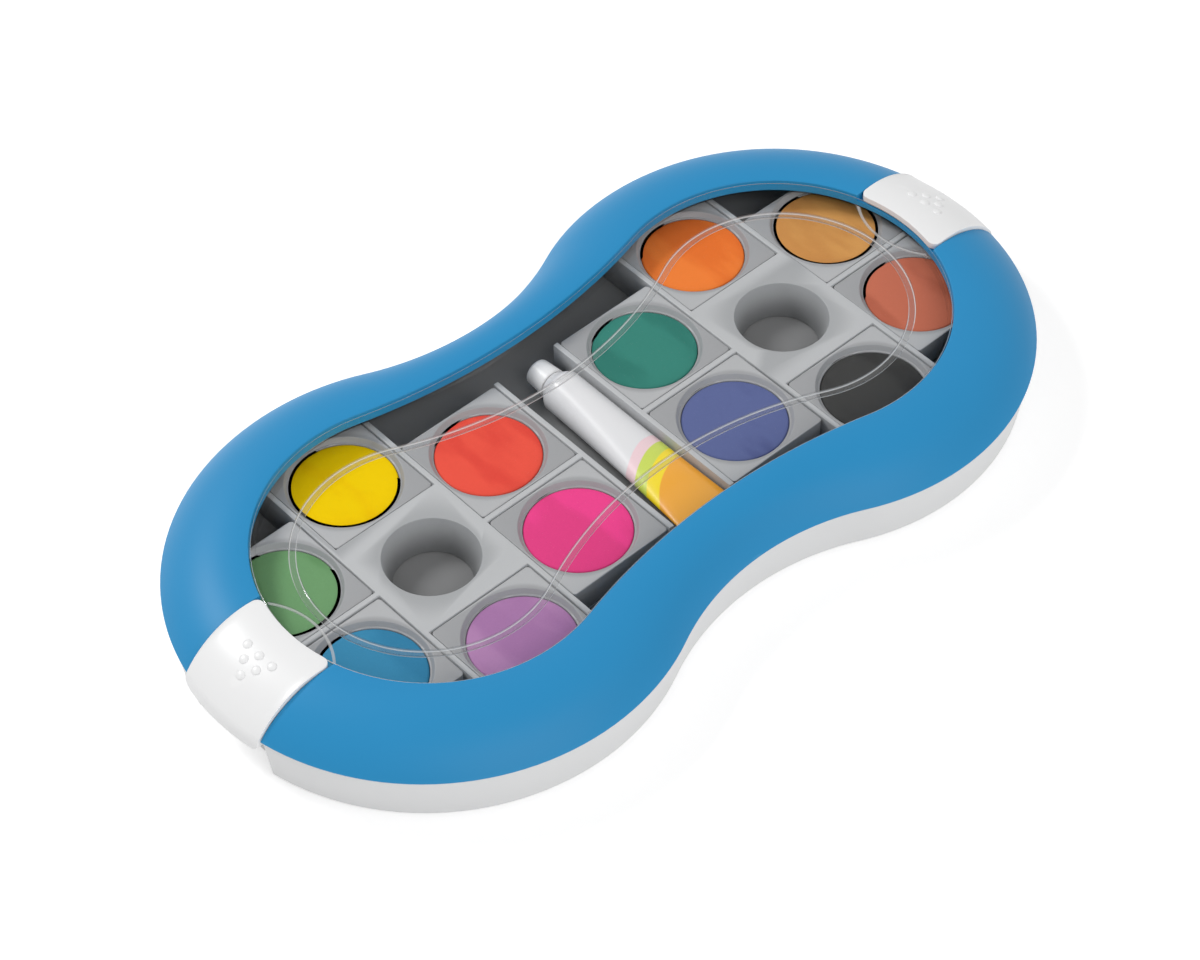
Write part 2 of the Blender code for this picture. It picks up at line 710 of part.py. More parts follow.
def make_tube(parts, material):
    """Tube from its flat folded end, through the round body, to the threaded neck."""
    stations = [
        (TUBE_END_Y, 1.0),
        (TUBE_FOLD_Y, 1.0),
    ]
    body_shares = (0.96, 0.86, 0.72, 0.55, 0.38, 0.22, 0.1, 0.0)
    for share in body_shares:
        stations.append((TUBE_SHOULDER_Y - share * TUBE_BODY_LENGTH, share**1.3))
    loops = []
    for y, flat in stations:
        half_width = TUBE_RADIUS + flat * (TUBE_FOLD_HALF_WIDTH - TUBE_RADIUS)
        half_height = TUBE_RADIUS + flat * (TUBE_FOLD_HALF_THICK - TUBE_RADIUS)
        x = TUBE_X + flat * (TUBE_FOLD_X - TUBE_X)
        z = TUBE_HEIGHT + flat * (TUBE_FOLD_HEIGHT - TUBE_HEIGHT)
        loops.append(ring_along_y(x, y, z, half_width, half_height))
    shoulder = TUBE_SHOULDER_Y + TUBE_SHOULDER_RISE
    turned_end = (
        (TUBE_NECK_RADIUS + TUBE_SHOULDER_LAND, shoulder),
        (TUBE_NECK_RADIUS, shoulder),
        (TUBE_NECK_RADIUS, shoulder + TUBE_NECK_LENGTH),
    )
    for radius, y in turned_end:
        loops.append(ring_along_y(TUBE_X, y, TUBE_HEIGHT, radius, radius))
    mesh = loft("tube_body", loops)
    finish_shading(mesh)
    return add_object("tube_body", mesh, parts, material)


def ring_along_y(x, y, z, half_width, half_height):
    points = []
    for index in range(TUBE_STEPS):
        angle = math.tau * index / TUBE_STEPS
        points.append((x + half_width * math.cos(angle), y, z + half_height * math.sin(angle)))
    return points


def make_cap(parts, material):
    """Hollow screw cap, turned about the tube's axis, its origin at its open end."""
    bore = TUBE_NECK_RADIUS + CAP_CLEARANCE
    depth = TUBE_NECK_LENGTH + CAP_CLEARANCE
    mesh = turned(
        "tube_cap",
        (
            (0.0, CAP_LENGTH),
            (CAP_TIP_RADIUS - CAP_ROUND, CAP_LENGTH),
            (CAP_TIP_RADIUS, CAP_LENGTH - CAP_ROUND),
            (CAP_RADIUS, 0.0),
            (bore, 0.0),
            (bore, depth),
            (0.0, depth),
        ),
        TUBE_STEPS,
    )
    finish_shading(mesh)
    cap = add_object("tube_cap", mesh, parts, material)
    cap.rotation_euler = (math.radians(-90.0), 0.0, 0.0)
    cap.location = (TUBE_X, CAP_START_Y, TUBE_HEIGHT)
    return cap


def make_frame(parts, tools, material):
    inner_radius = WINDOW_RADIUS + FRAME_INNER_WALL
    wall_foot = DOME_CREST_HEIGHT - FRAME_INNER_DROP
    lip_inner = LIP_INSET + FRAME_LIP_THICK
    top_shares = (0.0, 0.124, 0.3, 0.46, 0.62, 0.77, 0.9, 1.0)
    under_shares = (0.64, 0.46, 0.3, 0.124)
    loops = []
    for share in top_shares:
        radius = WINDOW_RADIUS + share * FRAME_WIDTH
        loops.append(at_height(frame_outline(radius), dome_height(radius)))
    loops.append(at_height(rim_outline(), FRAME_RIM_HEIGHT))
    loops.append(at_height(rim_outline(LIP_INSET), FRAME_RIM_HEIGHT))
    loops.append(at_height(rim_outline(LIP_INSET), FRAME_LIP_FOOT))
    loops.append(at_height(rim_outline(lip_inner), FRAME_LIP_FOOT))
    lip_height = dome_height(RIM_RADIUS - lip_inner, FRAME_THICK)
    loops.append(at_height(rim_outline(lip_inner), lip_height))
    for share in under_shares:
        radius = WINDOW_RADIUS + share * FRAME_WIDTH
        loops.append(at_height(frame_outline(radius), dome_height(radius, FRAME_THICK)))
    under_wall = dome_height(inner_radius, FRAME_THICK)
    loops.append(at_height(frame_outline(inner_radius), under_wall))
    loops.append(at_height(frame_outline(inner_radius), wall_foot))
    loops.append(at_height(window_outline(), wall_foot))
    frame = add_object("lid_frame", loft("lid_frame", loops, closed=True), parts, material)

    seat_end = WINDOW_RADIUS + LATCH_SEAT
    seat_top = dome_height(seat_end, LATCH_THICK - LATCH_PROUD) - GAP
    above = DOME_CREST_HEIGHT + OVERRUN
    far = RIM_LOBE_X + RIM_RADIUS + OVERRUN
    for side in (-1, 1):
        block = seat_block(side, seat_end + OVERLAP, wall_foot)
        join(frame, block, tools)
        seat_area = end_area(WINDOW_RADIUS - OVERLAP, RECESS_HALF_WIDTH, far, side)
        cut(frame, prism(f"latch_seat_{side}", seat_area, seat_top, above), tools)
        notch_area = end_area(seat_end, RECESS_HALF_WIDTH, far, side)
        cut(frame, prism(f"latch_notch_{side}", notch_area, 0.0, above), tools)
        lip_notch = recess_block(f"lip_notch_{side}", side, BASE_WALL + GAP, 0.0, FRAME_RIM_HEIGHT)
        cut(frame, lip_notch, tools)
    finish_shading(frame.data)
    return frame


def seat_block(side, outer_radius, bottom, steps=8):
    """Solid under the dome that becomes the floor and side walls of a latch's seat."""
    inner_radius = WINDOW_RADIUS + FRAME_INNER_WALL / 2
    half = LATCH_HALF_WIDTH + GAP + FRAME_INNER_WALL
    top = dome_height(outer_radius, FRAME_THICK / 2)
    points = []
    for radius, direction in ((inner_radius, 1), (outer_radius, -1)):
        for index in range(steps + 1):
            y = direction * half * (2 * index / steps - 1)
            points.append((side * lobe_point(radius, y), y))
    return prism(f"seat_block_{side}", points, bottom, top)


def make_window(parts, tools, material):
    skirt_foot = DOME_CREST_HEIGHT - FRAME_INNER_DROP - GAP
    flange_foot = skirt_foot - WINDOW_SKIRT
    loops = [
        at_height(window_outline(GAP + WINDOW_EDGE), WINDOW_TOP),
        at_height(window_outline(GAP), WINDOW_TOP - WINDOW_EDGE),
        at_height(window_outline(GAP), skirt_foot),
        at_height(window_outline(-WINDOW_FLANGE), skirt_foot),
        at_height(window_outline(-WINDOW_FLANGE), flange_foot),
        at_height(window_outline(GAP + WINDOW_SKIRT), flange_foot),
        at_height(window_outline(GAP + WINDOW_SKIRT), WINDOW_UNDERSIDE),
        at_height(ridge_outline(-RIDGE_HALF_WIDTH), WINDOW_UNDERSIDE),
        at_height(ridge_outline(RIDGE_TAPER - RIDGE_HALF_WIDTH), WINDOW_UNDERSIDE - RIDGE_DEPTH),
        at_height(ridge_outline(RIDGE_HALF_WIDTH - RIDGE_TAPER), WINDOW_UNDERSIDE - RIDGE_DEPTH),
        at_height(ridge_outline(RIDGE_HALF_WIDTH), WINDOW_UNDERSIDE),
    ]
    window = add_object("lid_window", loft("lid_window", loops), parts, material)
    for side in (-1, 1):
        join(window, thumb_arc(side), tools)
    finish_shading(window.data)
    return window


def thumb_arc(side, steps=10):
    """Short ridge round each latch, from skirt to skirt on the window's underside."""
    skirt_radius = WINDOW_RADIUS - GAP - WINDOW_SKIRT / 2
    apart = THUMB_ARC_X - WINDOW_LOBE_X
    along = (apart**2 + skirt_radius**2 - THUMB_ARC_RADIUS**2) / (2 * apart)
    reach = math.acos((apart - along) / THUMB_ARC_RADIUS)
    points = []
    for half_width, direction in ((THUMB_ARC_HALF_WIDTH, 1), (-THUMB_ARC_HALF_WIDTH, -1)):
        for index in range(steps + 1):
            angle = direction * reach * (2 * index / steps - 1)
            radius = THUMB_ARC_RADIUS + half_width
            x = THUMB_ARC_X - radius * math.cos(angle)
            points.append((side * x, radius * math.sin(angle)))
    return prism(
        f"thumb_arc_{side}", points, WINDOW_UNDERSIDE - RIDGE_DEPTH, WINDOW_UNDERSIDE + OVERLAP
    )


def latch_section(y):
    """Closed section of flap and leg at one distance from the long axis."""
    straight = LATCH_HALF_WIDTH - LATCH_CORNER
    beyond = max(0.0, abs(y) - straight)
    rounding = LATCH_CORNER - math.sqrt(max(0.0, LATCH_CORNER**2 - beyond**2))
    start = WINDOW_RADIUS + rounding
    foot = LATCH_FOOT + rounding
    outer_end = dome_run(FRAME_RIM_HEIGHT, -LATCH_PROUD)
    inner_end = dome_run(FRAME_RIM_HEIGHT, LATCH_THICK - LATCH_PROUD)
    step_shares = (0.0, 0.18, 0.36, 0.54, 0.7, 0.86, 1.0)
    points = []
    for share in step_shares:
        radius = start + share * (outer_end - start)
        points.append((lobe_point(radius, y), y, dome_height(radius, -LATCH_PROUD)))
    points.append((lobe_point(outer_end, y), y, foot))
    points.append((lobe_point(inner_end, y), y, foot))
    for share in reversed(step_shares):
        radius = start + share * (inner_end - start)
        height = dome_height(radius, LATCH_THICK - LATCH_PROUD)
        points.append((lobe_point(radius, y), y, height))
    return points


def arm_section(y):
    """Section of the arm that runs from the foot of the leg inwards to the barrel."""
    top = PIN_HEIGHT + BARREL_RADIUS
    bottom = top - LATCH_ARM
    leg_face = lobe_point(dome_run(FRAME_RIM_HEIGHT, LATCH_THICK - LATCH_PROUD), y)
    end = leg_face + OVERLAP
    return [(end, y, top), (end, y, bottom), (PIN_X, y, bottom), (PIN_X, y, top)]


def make_latch(name, side, parts, tools, material):
    """Flap, leg, arm, barrel and stub pins in one piece; its origin lies on the pins' axis."""
    pivot = Vector((side * PIN_X, 0.0, PIN_HEIGHT))
    straight = LATCH_HALF_WIDTH - LATCH_CORNER
    corner_shares = (0.35, 0.7, 0.92, 1.0)
    half_ys = [0.0, straight / 2, straight]
    half_ys += [straight + share * LATCH_CORNER for share in corner_shares]
    stations = [-y for y in reversed(half_ys[1:])] + half_ys
    flap = loft(name, [latch_section(y) for y in stations])
    arm_ys = [straight * share for share in (-1.0, -0.5, 0.0, 0.5, 1.0)]
    arm = loft(name + "_arm", [arm_section(y) for y in arm_ys])
    centre = (PIN_X, 0.0, PIN_HEIGHT)
    barrel = bar_along_y(name + "_barrel", centre, BARREL_RADIUS, LATCH_HALF_WIDTH)
    pins = bar_along_y(name + "_pins", centre, PIN_RADIUS, PIN_HALF_LENGTH)
    mirror = Matrix.Scale(side, 4, (1.0, 0.0, 0.0))
    placing = Matrix.Translation(-pivot) @ mirror
    for mesh in (flap, arm, barrel, pins):
        mesh.transform(placing)
        if side < 0:
            mesh.flip_normals()
    latch = add_object(name, flap, parts, material)
    latch.location = pivot
    for mesh in (arm, barrel, pins):
        tool = join(latch, mesh, tools)
        tool.location = pivot
    finish_shading(latch.data)
    return latch


def main():
    clear_scene()
    parts = make_collection("paint_box")
    tools = make_collection("cutters")
    white = make_material("white_plastic", (0.80, 0.81, 0.82), 0.35)
    charcoal = make_material("charcoal_plastic", (0.06, 0.06, 0.06), 0.5)
    grey = make_material("grey_plastic", (0.40, 0.41, 0.42), 0.45)
    pan_grey = make_material("pan_plastic", (0.37, 0.38, 0.38), 0.45)
    blue = make_material("blue_plastic", (0.05, 0.27, 0.52), 0.35)
    clear = make_material("clear_plastic", (0.95, 0.97, 0.97), 0.05, alpha=0.25)
    enamel = make_material("tube_enamel", (0.78, 0.78, 0.79), 0.3)
    cap_white = make_material("cap_plastic", (0.82, 0.82, 0.83), 0.35)
    latch_white = make_material("latch_plastic", (0.85, 0.86, 0.86), 0.3)
    make_base(parts, tools, white)
    make_tray(parts, tools, charcoal)
    make_rack("pan_rack_left", -1, parts, tools, grey)
    make_rack("pan_rack_right", 1, parts, tools, grey)
    make_pans(parts, tools, pan_grey)
    make_tube(parts, enamel)
    make_cap(parts, cap_white)
    make_frame(parts, tools, blue)
    make_window(parts, tools, clear)
    make_latch("latch_left", -1, parts, tools, latch_white)
    make_latch("latch_right", 1, parts, tools, latch_white)


main()
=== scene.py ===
# %% [markdown]
# # Dressing a paint box
#
# The object is a flat school paint box with a figure-eight plan: a white base, a blue ring
# lid round a clear window, two white latches, and inside it racks of paint pans, two water
# wells and a tube of white. The imported model already holds every piece at its real size and
# place. This lesson gives each of them its fine shape and its finish.
#
# The first step loads that model and keeps its pieces, so that their boxes can give the
# sizes and places below.

import json
import math

import bmesh
import bpy
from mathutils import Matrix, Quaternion, Vector


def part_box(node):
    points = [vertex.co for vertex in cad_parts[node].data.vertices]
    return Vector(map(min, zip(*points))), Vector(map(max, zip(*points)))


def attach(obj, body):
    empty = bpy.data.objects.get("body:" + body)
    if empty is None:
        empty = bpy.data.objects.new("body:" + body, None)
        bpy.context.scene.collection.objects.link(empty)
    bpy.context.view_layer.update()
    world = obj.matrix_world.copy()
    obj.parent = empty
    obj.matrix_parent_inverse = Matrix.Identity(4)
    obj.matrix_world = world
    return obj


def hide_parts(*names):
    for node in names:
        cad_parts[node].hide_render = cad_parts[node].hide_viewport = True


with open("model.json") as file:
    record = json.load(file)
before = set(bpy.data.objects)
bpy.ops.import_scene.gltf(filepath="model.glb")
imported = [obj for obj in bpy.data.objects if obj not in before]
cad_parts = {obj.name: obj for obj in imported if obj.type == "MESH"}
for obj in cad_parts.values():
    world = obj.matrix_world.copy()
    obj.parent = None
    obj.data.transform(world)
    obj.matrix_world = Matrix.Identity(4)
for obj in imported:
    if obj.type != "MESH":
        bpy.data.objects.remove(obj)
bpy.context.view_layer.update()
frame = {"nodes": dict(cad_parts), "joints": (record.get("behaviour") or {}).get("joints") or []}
print("pieces in the frame:", len(frame["nodes"]))

# %% [markdown]
# ## Sizes
#
# A designer of such a box would draw its plan first: two round lobes and a waist, all arcs
# that touch. The lobes' centres and radii can be read off the frame's boxes. Only what a
# box can't tell, such as the waist or the thickness of a wall, is written as a real size.

# %% Sizes of the plan
MM = 0.001
GAP = 0.3 * MM
WAIST_PINCH = 15.1 * MM
FRAME_WAIST_WIDTH = 16.8 * MM
WINDOW_FLANGE = 1.9 * MM
TRAY_INSET = 4.9 * MM

tray_low, tray_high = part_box("inner_tray")
ring_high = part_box("lid_frame")[1]
window_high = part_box("lid_window")[1]

# The orange pan stands exactly over the middle of the right lobe
middle_pan_low, middle_pan_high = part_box("pan_orange")

# An outline is its lobe's centre, its lobe's radius and half its waist
LOBE_X = (middle_pan_low.x + middle_pan_high.x) / 2
RIM_RADIUS = ring_high.y
RIM = (LOBE_X, RIM_RADIUS, RIM_RADIUS - WAIST_PINCH)
WINDOW_RADIUS = window_high.y - WINDOW_FLANGE
WINDOW = (window_high.x - window_high.y, WINDOW_RADIUS, RIM[2] - FRAME_WAIST_WIDTH)
FRAME_WIDTH = RIM_RADIUS - WINDOW_RADIUS
print("rim outline in mm:", [round(value / MM, 2) for value in RIM])
print("window outline in mm:", [round(value / MM, 2) for value in WINDOW])

# %% [markdown]
# ## Working like a modeller
#
# Blender's operators act on whatever is selected, so each step starts from an empty
# selection and then picks vertices, edges or faces by their place. These few helpers do
# the picking, apply a modifier, and cut or join two solids.


# %% Selecting and applying
def deselect_all():
    if bpy.context.mode != "OBJECT":
        bpy.ops.object.mode_set(mode="OBJECT")
    bpy.ops.object.select_all(action="DESELECT")


def activate(piece):
    deselect_all()
    piece.select_set(True)
    bpy.context.view_layer.objects.active = piece


def edit(piece, mode="FACE"):
    activate(piece)
    bpy.ops.object.mode_set(mode="EDIT")
    bpy.ops.mesh.select_mode(type=mode)
    bpy.ops.mesh.select_all(action="DESELECT")


def pick(piece, kind, test):
    """Selects the faces, edges or verts of the piece in edit mode that pass a test."""
    bpy.ops.mesh.select_all(action="DESELECT")
    work = bmesh.from_edit_mesh(piece.data)
    found = [element for element in getattr(work, kind) if test(element)]
    for element in found:
        element.select_set(True)
    work.select_flush_mode()
    bmesh.update_edit_mesh(piece.data)
    return len(found)


def leave_edit():
    bpy.ops.object.mode_set(mode="OBJECT")


def face_outwards():
    """Turns the normals of the closed mesh in edit mode outwards, and leaves it."""
    bpy.ops.mesh.select_all(action="SELECT")
    bpy.ops.mesh.normals_make_consistent(inside=False)
    leave_edit()


def merge_and_fill():
    """Joins vertices that lie on each other in edit mode, and closes what is open."""
    bpy.ops.mesh.select_all(action="SELECT")
    bpy.ops.mesh.remove_doubles(threshold=MERGE)
    bpy.ops.mesh.fill_holes(sides=0)


def apply_place(piece):
    activate(piece)
    bpy.ops.object.transform_apply(location=True, rotation=True, scale=True)


def apply_modifier(piece, kind, **settings):
    activate(piece)
    step = piece.modifiers.new(kind.lower(), kind)
    for name, value in settings.items():
        setattr(step, name, value)
    bpy.ops.object.modifier_apply(modifier=step.name)


def combine(piece, tool, operation):
    """Cuts or joins a piece with another solid, which is used up."""
    apply_modifier(piece, "BOOLEAN", operation=operation, object=tool, solver="EXACT")
    bpy.data.objects.remove(tool, do_unlink=True)


def smooth(piece, degrees=35.0):
    activate(piece)
    bpy.ops.object.shade_smooth_by_angle(angle=math.radians(degrees))


def round_edges(piece, width, segments=3, degrees=40.0):
    apply_modifier(
        piece, "BEVEL", width=width, segments=segments, limit_method="ANGLE",
        angle_limit=math.radians(degrees), harden_normals=False,
    )


def finish_piece(piece, name, node, body, material):
    """Names a piece, gives it its finish, and lets it stand for a node of the frame."""
    piece.name = name
    piece.data.name = name
    piece.data.materials.clear()
    piece.data.materials.append(material)
    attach(piece, body)
    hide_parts(node)


# %% [markdown]
# ## Drawing an outline
#
# A figure eight of arcs is drawn the way a compass does it: a point is spun round the
# lobe's centre as far as the place where the arcs touch, and then on round the waist's
# centre. One quarter is enough, because two mirrors make the rest. Loops drawn at several
# heights are bridged into a skin, which suits this box because its dome, its walls and its
# window are all stacks of such outlines.

# %% Outlines from spun points
POINT = 1.0 * MM
LOBE_STEPS = 44
WAIST_STEPS = 16
LOOP_COUNT = LOBE_STEPS + WAIST_STEPS + 1
MERGE = 0.005 * MM


def mixed(share):
    """Outline at a share of the way from the window's edge to the rim."""
    return tuple(inner + share * (outer - inner) for inner, outer in zip(WINDOW, RIM))


def waist_centre(outline):
    lobe_x, radius, waist = outline
    hollow = (lobe_x**2 + waist**2 - radius**2) / (2 * (radius - waist))
    return waist + hollow


def draw_quarter(outline, inset, height):
    """Adds a quarter of an outline, moved inwards, to the mesh in edit mode."""
    lobe_x, radius = outline[:2]
    centre_y = waist_centre(outline)
    touch = math.atan2(centre_y, -lobe_x)
    start = (lobe_x + radius - inset, 0.0, height)
    bpy.ops.mesh.select_all(action="DESELECT")
    bpy.ops.mesh.primitive_plane_add(size=POINT, location=start)
    bpy.ops.mesh.merge(type="CENTER")
    bpy.ops.mesh.spin(
        steps=LOBE_STEPS, angle=-touch, center=(lobe_x, 0.0, height), axis=(0, 0, 1)
    )
    bpy.ops.mesh.spin(
        steps=WAIST_STEPS, angle=touch - math.pi / 2, center=(0.0, centre_y, height),
        axis=(0, 0, 1),
    )


def empty_piece(name):
    """A mesh object with nothing in it yet, open for editing."""
    deselect_all()
    bpy.ops.mesh.primitive_plane_add(size=POINT)
    piece = bpy.context.object
    piece.name = name
    bpy.ops.object.mode_set(mode="EDIT")
    bpy.ops.mesh.select_mode(type="VERT")
    bpy.ops.mesh.delete(type="VERT")
    return piece


def bridge_loops(piece, first, second):
    """Bridges two of the quarter loops, which are counted in the order they were drawn."""

    def in_either(edge):
        loops = {vertex.index // LOOP_COUNT for vertex in edge.verts}
        return len(loops) == 1 and loops <= {first, second}

    bpy.ops.mesh.select_mode(type="EDGE")
    pick(piece, "edges", in_either)
    bpy.ops.mesh.bridge_edge_loops()


def stack(name, stations, closed=False):
    """A whole figure-eight skin through quarter outlines, capped unless it is closed."""
    piece = empty_piece(name)
    for outline, inset, height in stations:
        draw_quarter(outline, inset, height)
    for index in range(len(stations) - 1):
        bridge_loops(piece, index, index + 1)
    if closed:
        bridge_loops(piece, len(stations) - 1, 0)
    leave_edit()
    apply_place(piece)
    apply_modifier(
        piece, "MIRROR", use_axis=(True, True, False), use_clip=True, merge_threshold=MERGE
    )
    edit(piece, "VERT")
    merge_and_fill()
    face_outwards()
    return piece


# %% [markdown]
# ## Drawing a section
#
# A latch starts from a flat section instead. A single point is extruded along the
# section's corners, the last edge and the face are filled in, and the face is then pulled
# out to its length. The cap starts from such a line of points too. Blocks and rods are the
# tools that cut or join: a block's corners are snapped, so that two of them can share a
# wall without a sliver between them.


# %% Sections from extruded points
SNAP = 0.0005 * MM


def draw_line(points):
    """Draws a line through the points in edit mode, and selects it."""
    bpy.ops.mesh.primitive_plane_add(size=POINT, location=points[0])
    bpy.ops.mesh.merge(type="CENTER")
    for before, after in zip(points, points[1:]):
        step = Vector(after) - Vector(before)
        bpy.ops.mesh.extrude_vertices_move(TRANSFORM_OT_translate={"value": tuple(step)})
    bpy.ops.mesh.select_all(action="SELECT")


def draw_section(name, points):
    """A flat face through the points, left open in edit mode and selected."""
    piece = empty_piece(name)
    draw_line(points)
    bpy.ops.mesh.edge_face_add()
    return piece


def pull(step):
    bpy.ops.mesh.extrude_region_move(TRANSFORM_OT_translate={"value": tuple(step)})


def scale_about(centre, factors):
    bpy.ops.transform.resize(value=tuple(factors), center_override=tuple(centre))


def close_section(piece):
    face_outwards()
    apply_place(piece)
    return piece


def block(low, high):
    """A box between two corners, which are snapped so that blocks can share a wall."""
    deselect_all()
    low = Vector(low)
    high = Vector(high)
    bpy.ops.mesh.primitive_cube_add(size=1.0, location=(low + high) / 2, scale=high - low)
    piece = bpy.context.object
    apply_place(piece)
    for vertex in piece.data.vertices:
        vertex.co = [round(value / SNAP) * SNAP for value in vertex.co]
    return piece


def rod(centre, radius, length, axis="Z", vertices=64, top_radius=None):
    """A round bar, or a cone if its top has another radius."""
    deselect_all()
    turns = {"Z": (0.0, 0.0, 0.0), "Y": (math.radians(-90.0), 0.0, 0.0)}
    bpy.ops.mesh.primitive_cone_add(
        vertices=vertices, radius1=radius, radius2=radius if top_radius is None else top_radius,
        depth=length, location=centre, rotation=turns[axis],
    )
    piece = bpy.context.object
    apply_place(piece)
    return piece


def mirrored_copy(piece, name):
    """A copy with its own mesh, on the other side of the box's middle."""
    activate(piece)
    bpy.ops.object.duplicate(linked=False)
    copy = bpy.context.object
    copy.name = name
    copy.scale.x = -1.0
    apply_place(copy)
    edit(copy)
    face_outwards()
    return copy


def on_side(side, tool):
    """The tool itself for the right side, or its mirror image for the left one."""
    if side > 0:
        return tool
    other = mirrored_copy(tool, "tool")
    bpy.data.objects.remove(tool, do_unlink=True)
    return other


# %% [markdown]
# ## Finishes shared by the plastics
#
# All the shells are injection moulded, so they share three things: a faint mottle in the
# colour, a roughness that is never quite even, and the fine texture that spark erosion
# leaves in the mould. One node group makes all three, and each material sets its own
# amounts. A second group lightens convex edges, partly as handling wears them and partly as
# a painted highlight, and a third paints shade into a colour with depth, darker towards the
# foot of a narrow recess.

# %% Node groups
GRAIN_PER_METRE = 2600.0
MOTTLE_PER_METRE = 45.0
CLOUD_PER_METRE = 14.0
FLAT_BEND = 0.52
SHARP_BEND = 0.6

# Sockets of a Mix node that belong to its colours
MIX_FIRST = 6
MIX_SECOND = 7
MIX_RESULT = 2


def new_group(name, inputs, outputs):
    """An empty node group with named sockets, and its two end nodes."""
    group = bpy.data.node_groups.new(name, "ShaderNodeTree")
    for label, kind, value in inputs:
        socket = group.interface.new_socket(label, in_out="INPUT", socket_type=kind)
        socket.default_value = value
    for label, kind in outputs:
        group.interface.new_socket(label, in_out="OUTPUT", socket_type=kind)
    entry = group.nodes.new("NodeGroupInput")
    leave = group.nodes.new("NodeGroupOutput")
    return group, entry, leave


def add_node(tree, kind, **settings):
    node = tree.nodes.new(kind)
    for name, value in settings.items():
        setattr(node, name, value)
    return node


def set_inputs(node, **values):
    for name, value in values.items():
        node.inputs[name.replace("_", " ")].default_value = value


def noise(tree, place, scale, detail, roughness=0.5):
    node = add_node(tree, "ShaderNodeTexNoise")
    set_inputs(node, Scale=scale, Detail=detail, Roughness=roughness)
    tree.links.new(place, node.inputs["Vector"])
    return node.outputs["Fac"]


def ranged(tree, value, low, high, new_low, new_high, smoothly=False):
    node = add_node(tree, "ShaderNodeMapRange")
    if smoothly:
        node.interpolation_type = "SMOOTHSTEP"
    set_inputs(node, From_Min=low, From_Max=high, To_Min=new_low, To_Max=new_high)
    tree.links.new(value, node.inputs["Value"])
    return node.outputs["Result"]


def computed(tree, operation, first, second=None, third=None):
    node = add_node(tree, "ShaderNodeMath", operation=operation)
    for index, value in enumerate((first, second, third)):
        if value is None:
            continue
        if isinstance(value, float):
            node.inputs[index].default_value = value
        else:
            tree.links.new(value, node.inputs[index])
    return node.outputs[0]


def blended(tree, factor, first, second, way="MIX"):
    """Mixes two colours; each may be a socket or a plain colour."""
    node = add_node(tree, "ShaderNodeMix", data_type="RGBA", blend_type=way)
    node.clamp_factor = True
    slots = (node.inputs[0], node.inputs[MIX_FIRST], node.inputs[MIX_SECOND])
    for slot, value in zip(slots, (factor, first, second)):
        if isinstance(value, (float, tuple)):
            slot.default_value = value
        else:
            tree.links.new(value, slot)
    return node.outputs[MIX_RESULT]


def make_moulding_group():
    group, entry, leave = new_group(
        "moulded_skin",
        (
            ("Colour", "NodeSocketColor", (0.5, 0.5, 0.5, 1.0)),
            ("Mottle", "NodeSocketFloat", 0.04),
            ("Roughness", "NodeSocketFloat", 0.4),
            ("Smear", "NodeSocketFloat", 0.06),
            ("Grain", "NodeSocketFloat", 0.5),
        ),
        (
            ("Colour", "NodeSocketColor"),
            ("Roughness", "NodeSocketFloat"),
            ("Height", "NodeSocketFloat"),
        ),
    )
    place = group.nodes.new("ShaderNodeTexCoord").outputs["Object"]
    mottle = noise(group, place, MOTTLE_PER_METRE, 4.0)
    cloud = noise(group, place, CLOUD_PER_METRE, 2.0)
    grain = noise(group, place, GRAIN_PER_METRE, 2.0, 0.6)
    drift = computed(group, "SUBTRACT", computed(group, "ADD", mottle, cloud), 1.0)
    change = computed(group, "MULTIPLY", drift, entry.outputs["Mottle"])
    bright = computed(group, "ADD", change, 1.0)
    scaled = add_node(group, "ShaderNodeVectorMath", operation="SCALE")
    group.links.new(entry.outputs["Colour"], scaled.inputs[0])
    group.links.new(bright, scaled.inputs["Scale"])
    group.links.new(scaled.outputs["Vector"], leave.inputs["Colour"])
    smear = computed(group, "MULTIPLY", drift, entry.outputs["Smear"])
    rough = computed(group, "ADD", smear, entry.outputs["Roughness"])
    group.links.new(rough, leave.inputs["Roughness"])
    height = computed(group, "MULTIPLY", grain, entry.outputs["Grain"])
    group.links.new(height, leave.inputs["Height"])
    return group


def make_edge_wear_and_highlight_group():
    group, entry, leave = new_group(
        "handled_edges",
        (
            ("Colour", "NodeSocketColor", (0.5, 0.5, 0.5, 1.0)),
            ("Edge Colour", "NodeSocketColor", (1.0, 1.0, 1.0, 1.0)),
            ("Amount", "NodeSocketFloat", 0.3),
        ),
        (("Colour", "NodeSocketColor"),),
    )
    bend = group.nodes.new("ShaderNodeNewGeometry").outputs["Pointiness"]
    edge = ranged(group, bend, FLAT_BEND, SHARP_BEND, 0.0, 1.0, smoothly=True)
    amount = computed(group, "MULTIPLY", edge, entry.outputs["Amount"])
    colour = blended(group, amount, entry.outputs["Colour"], entry.outputs["Edge Colour"])
    group.links.new(colour, leave.inputs["Colour"])
    return group


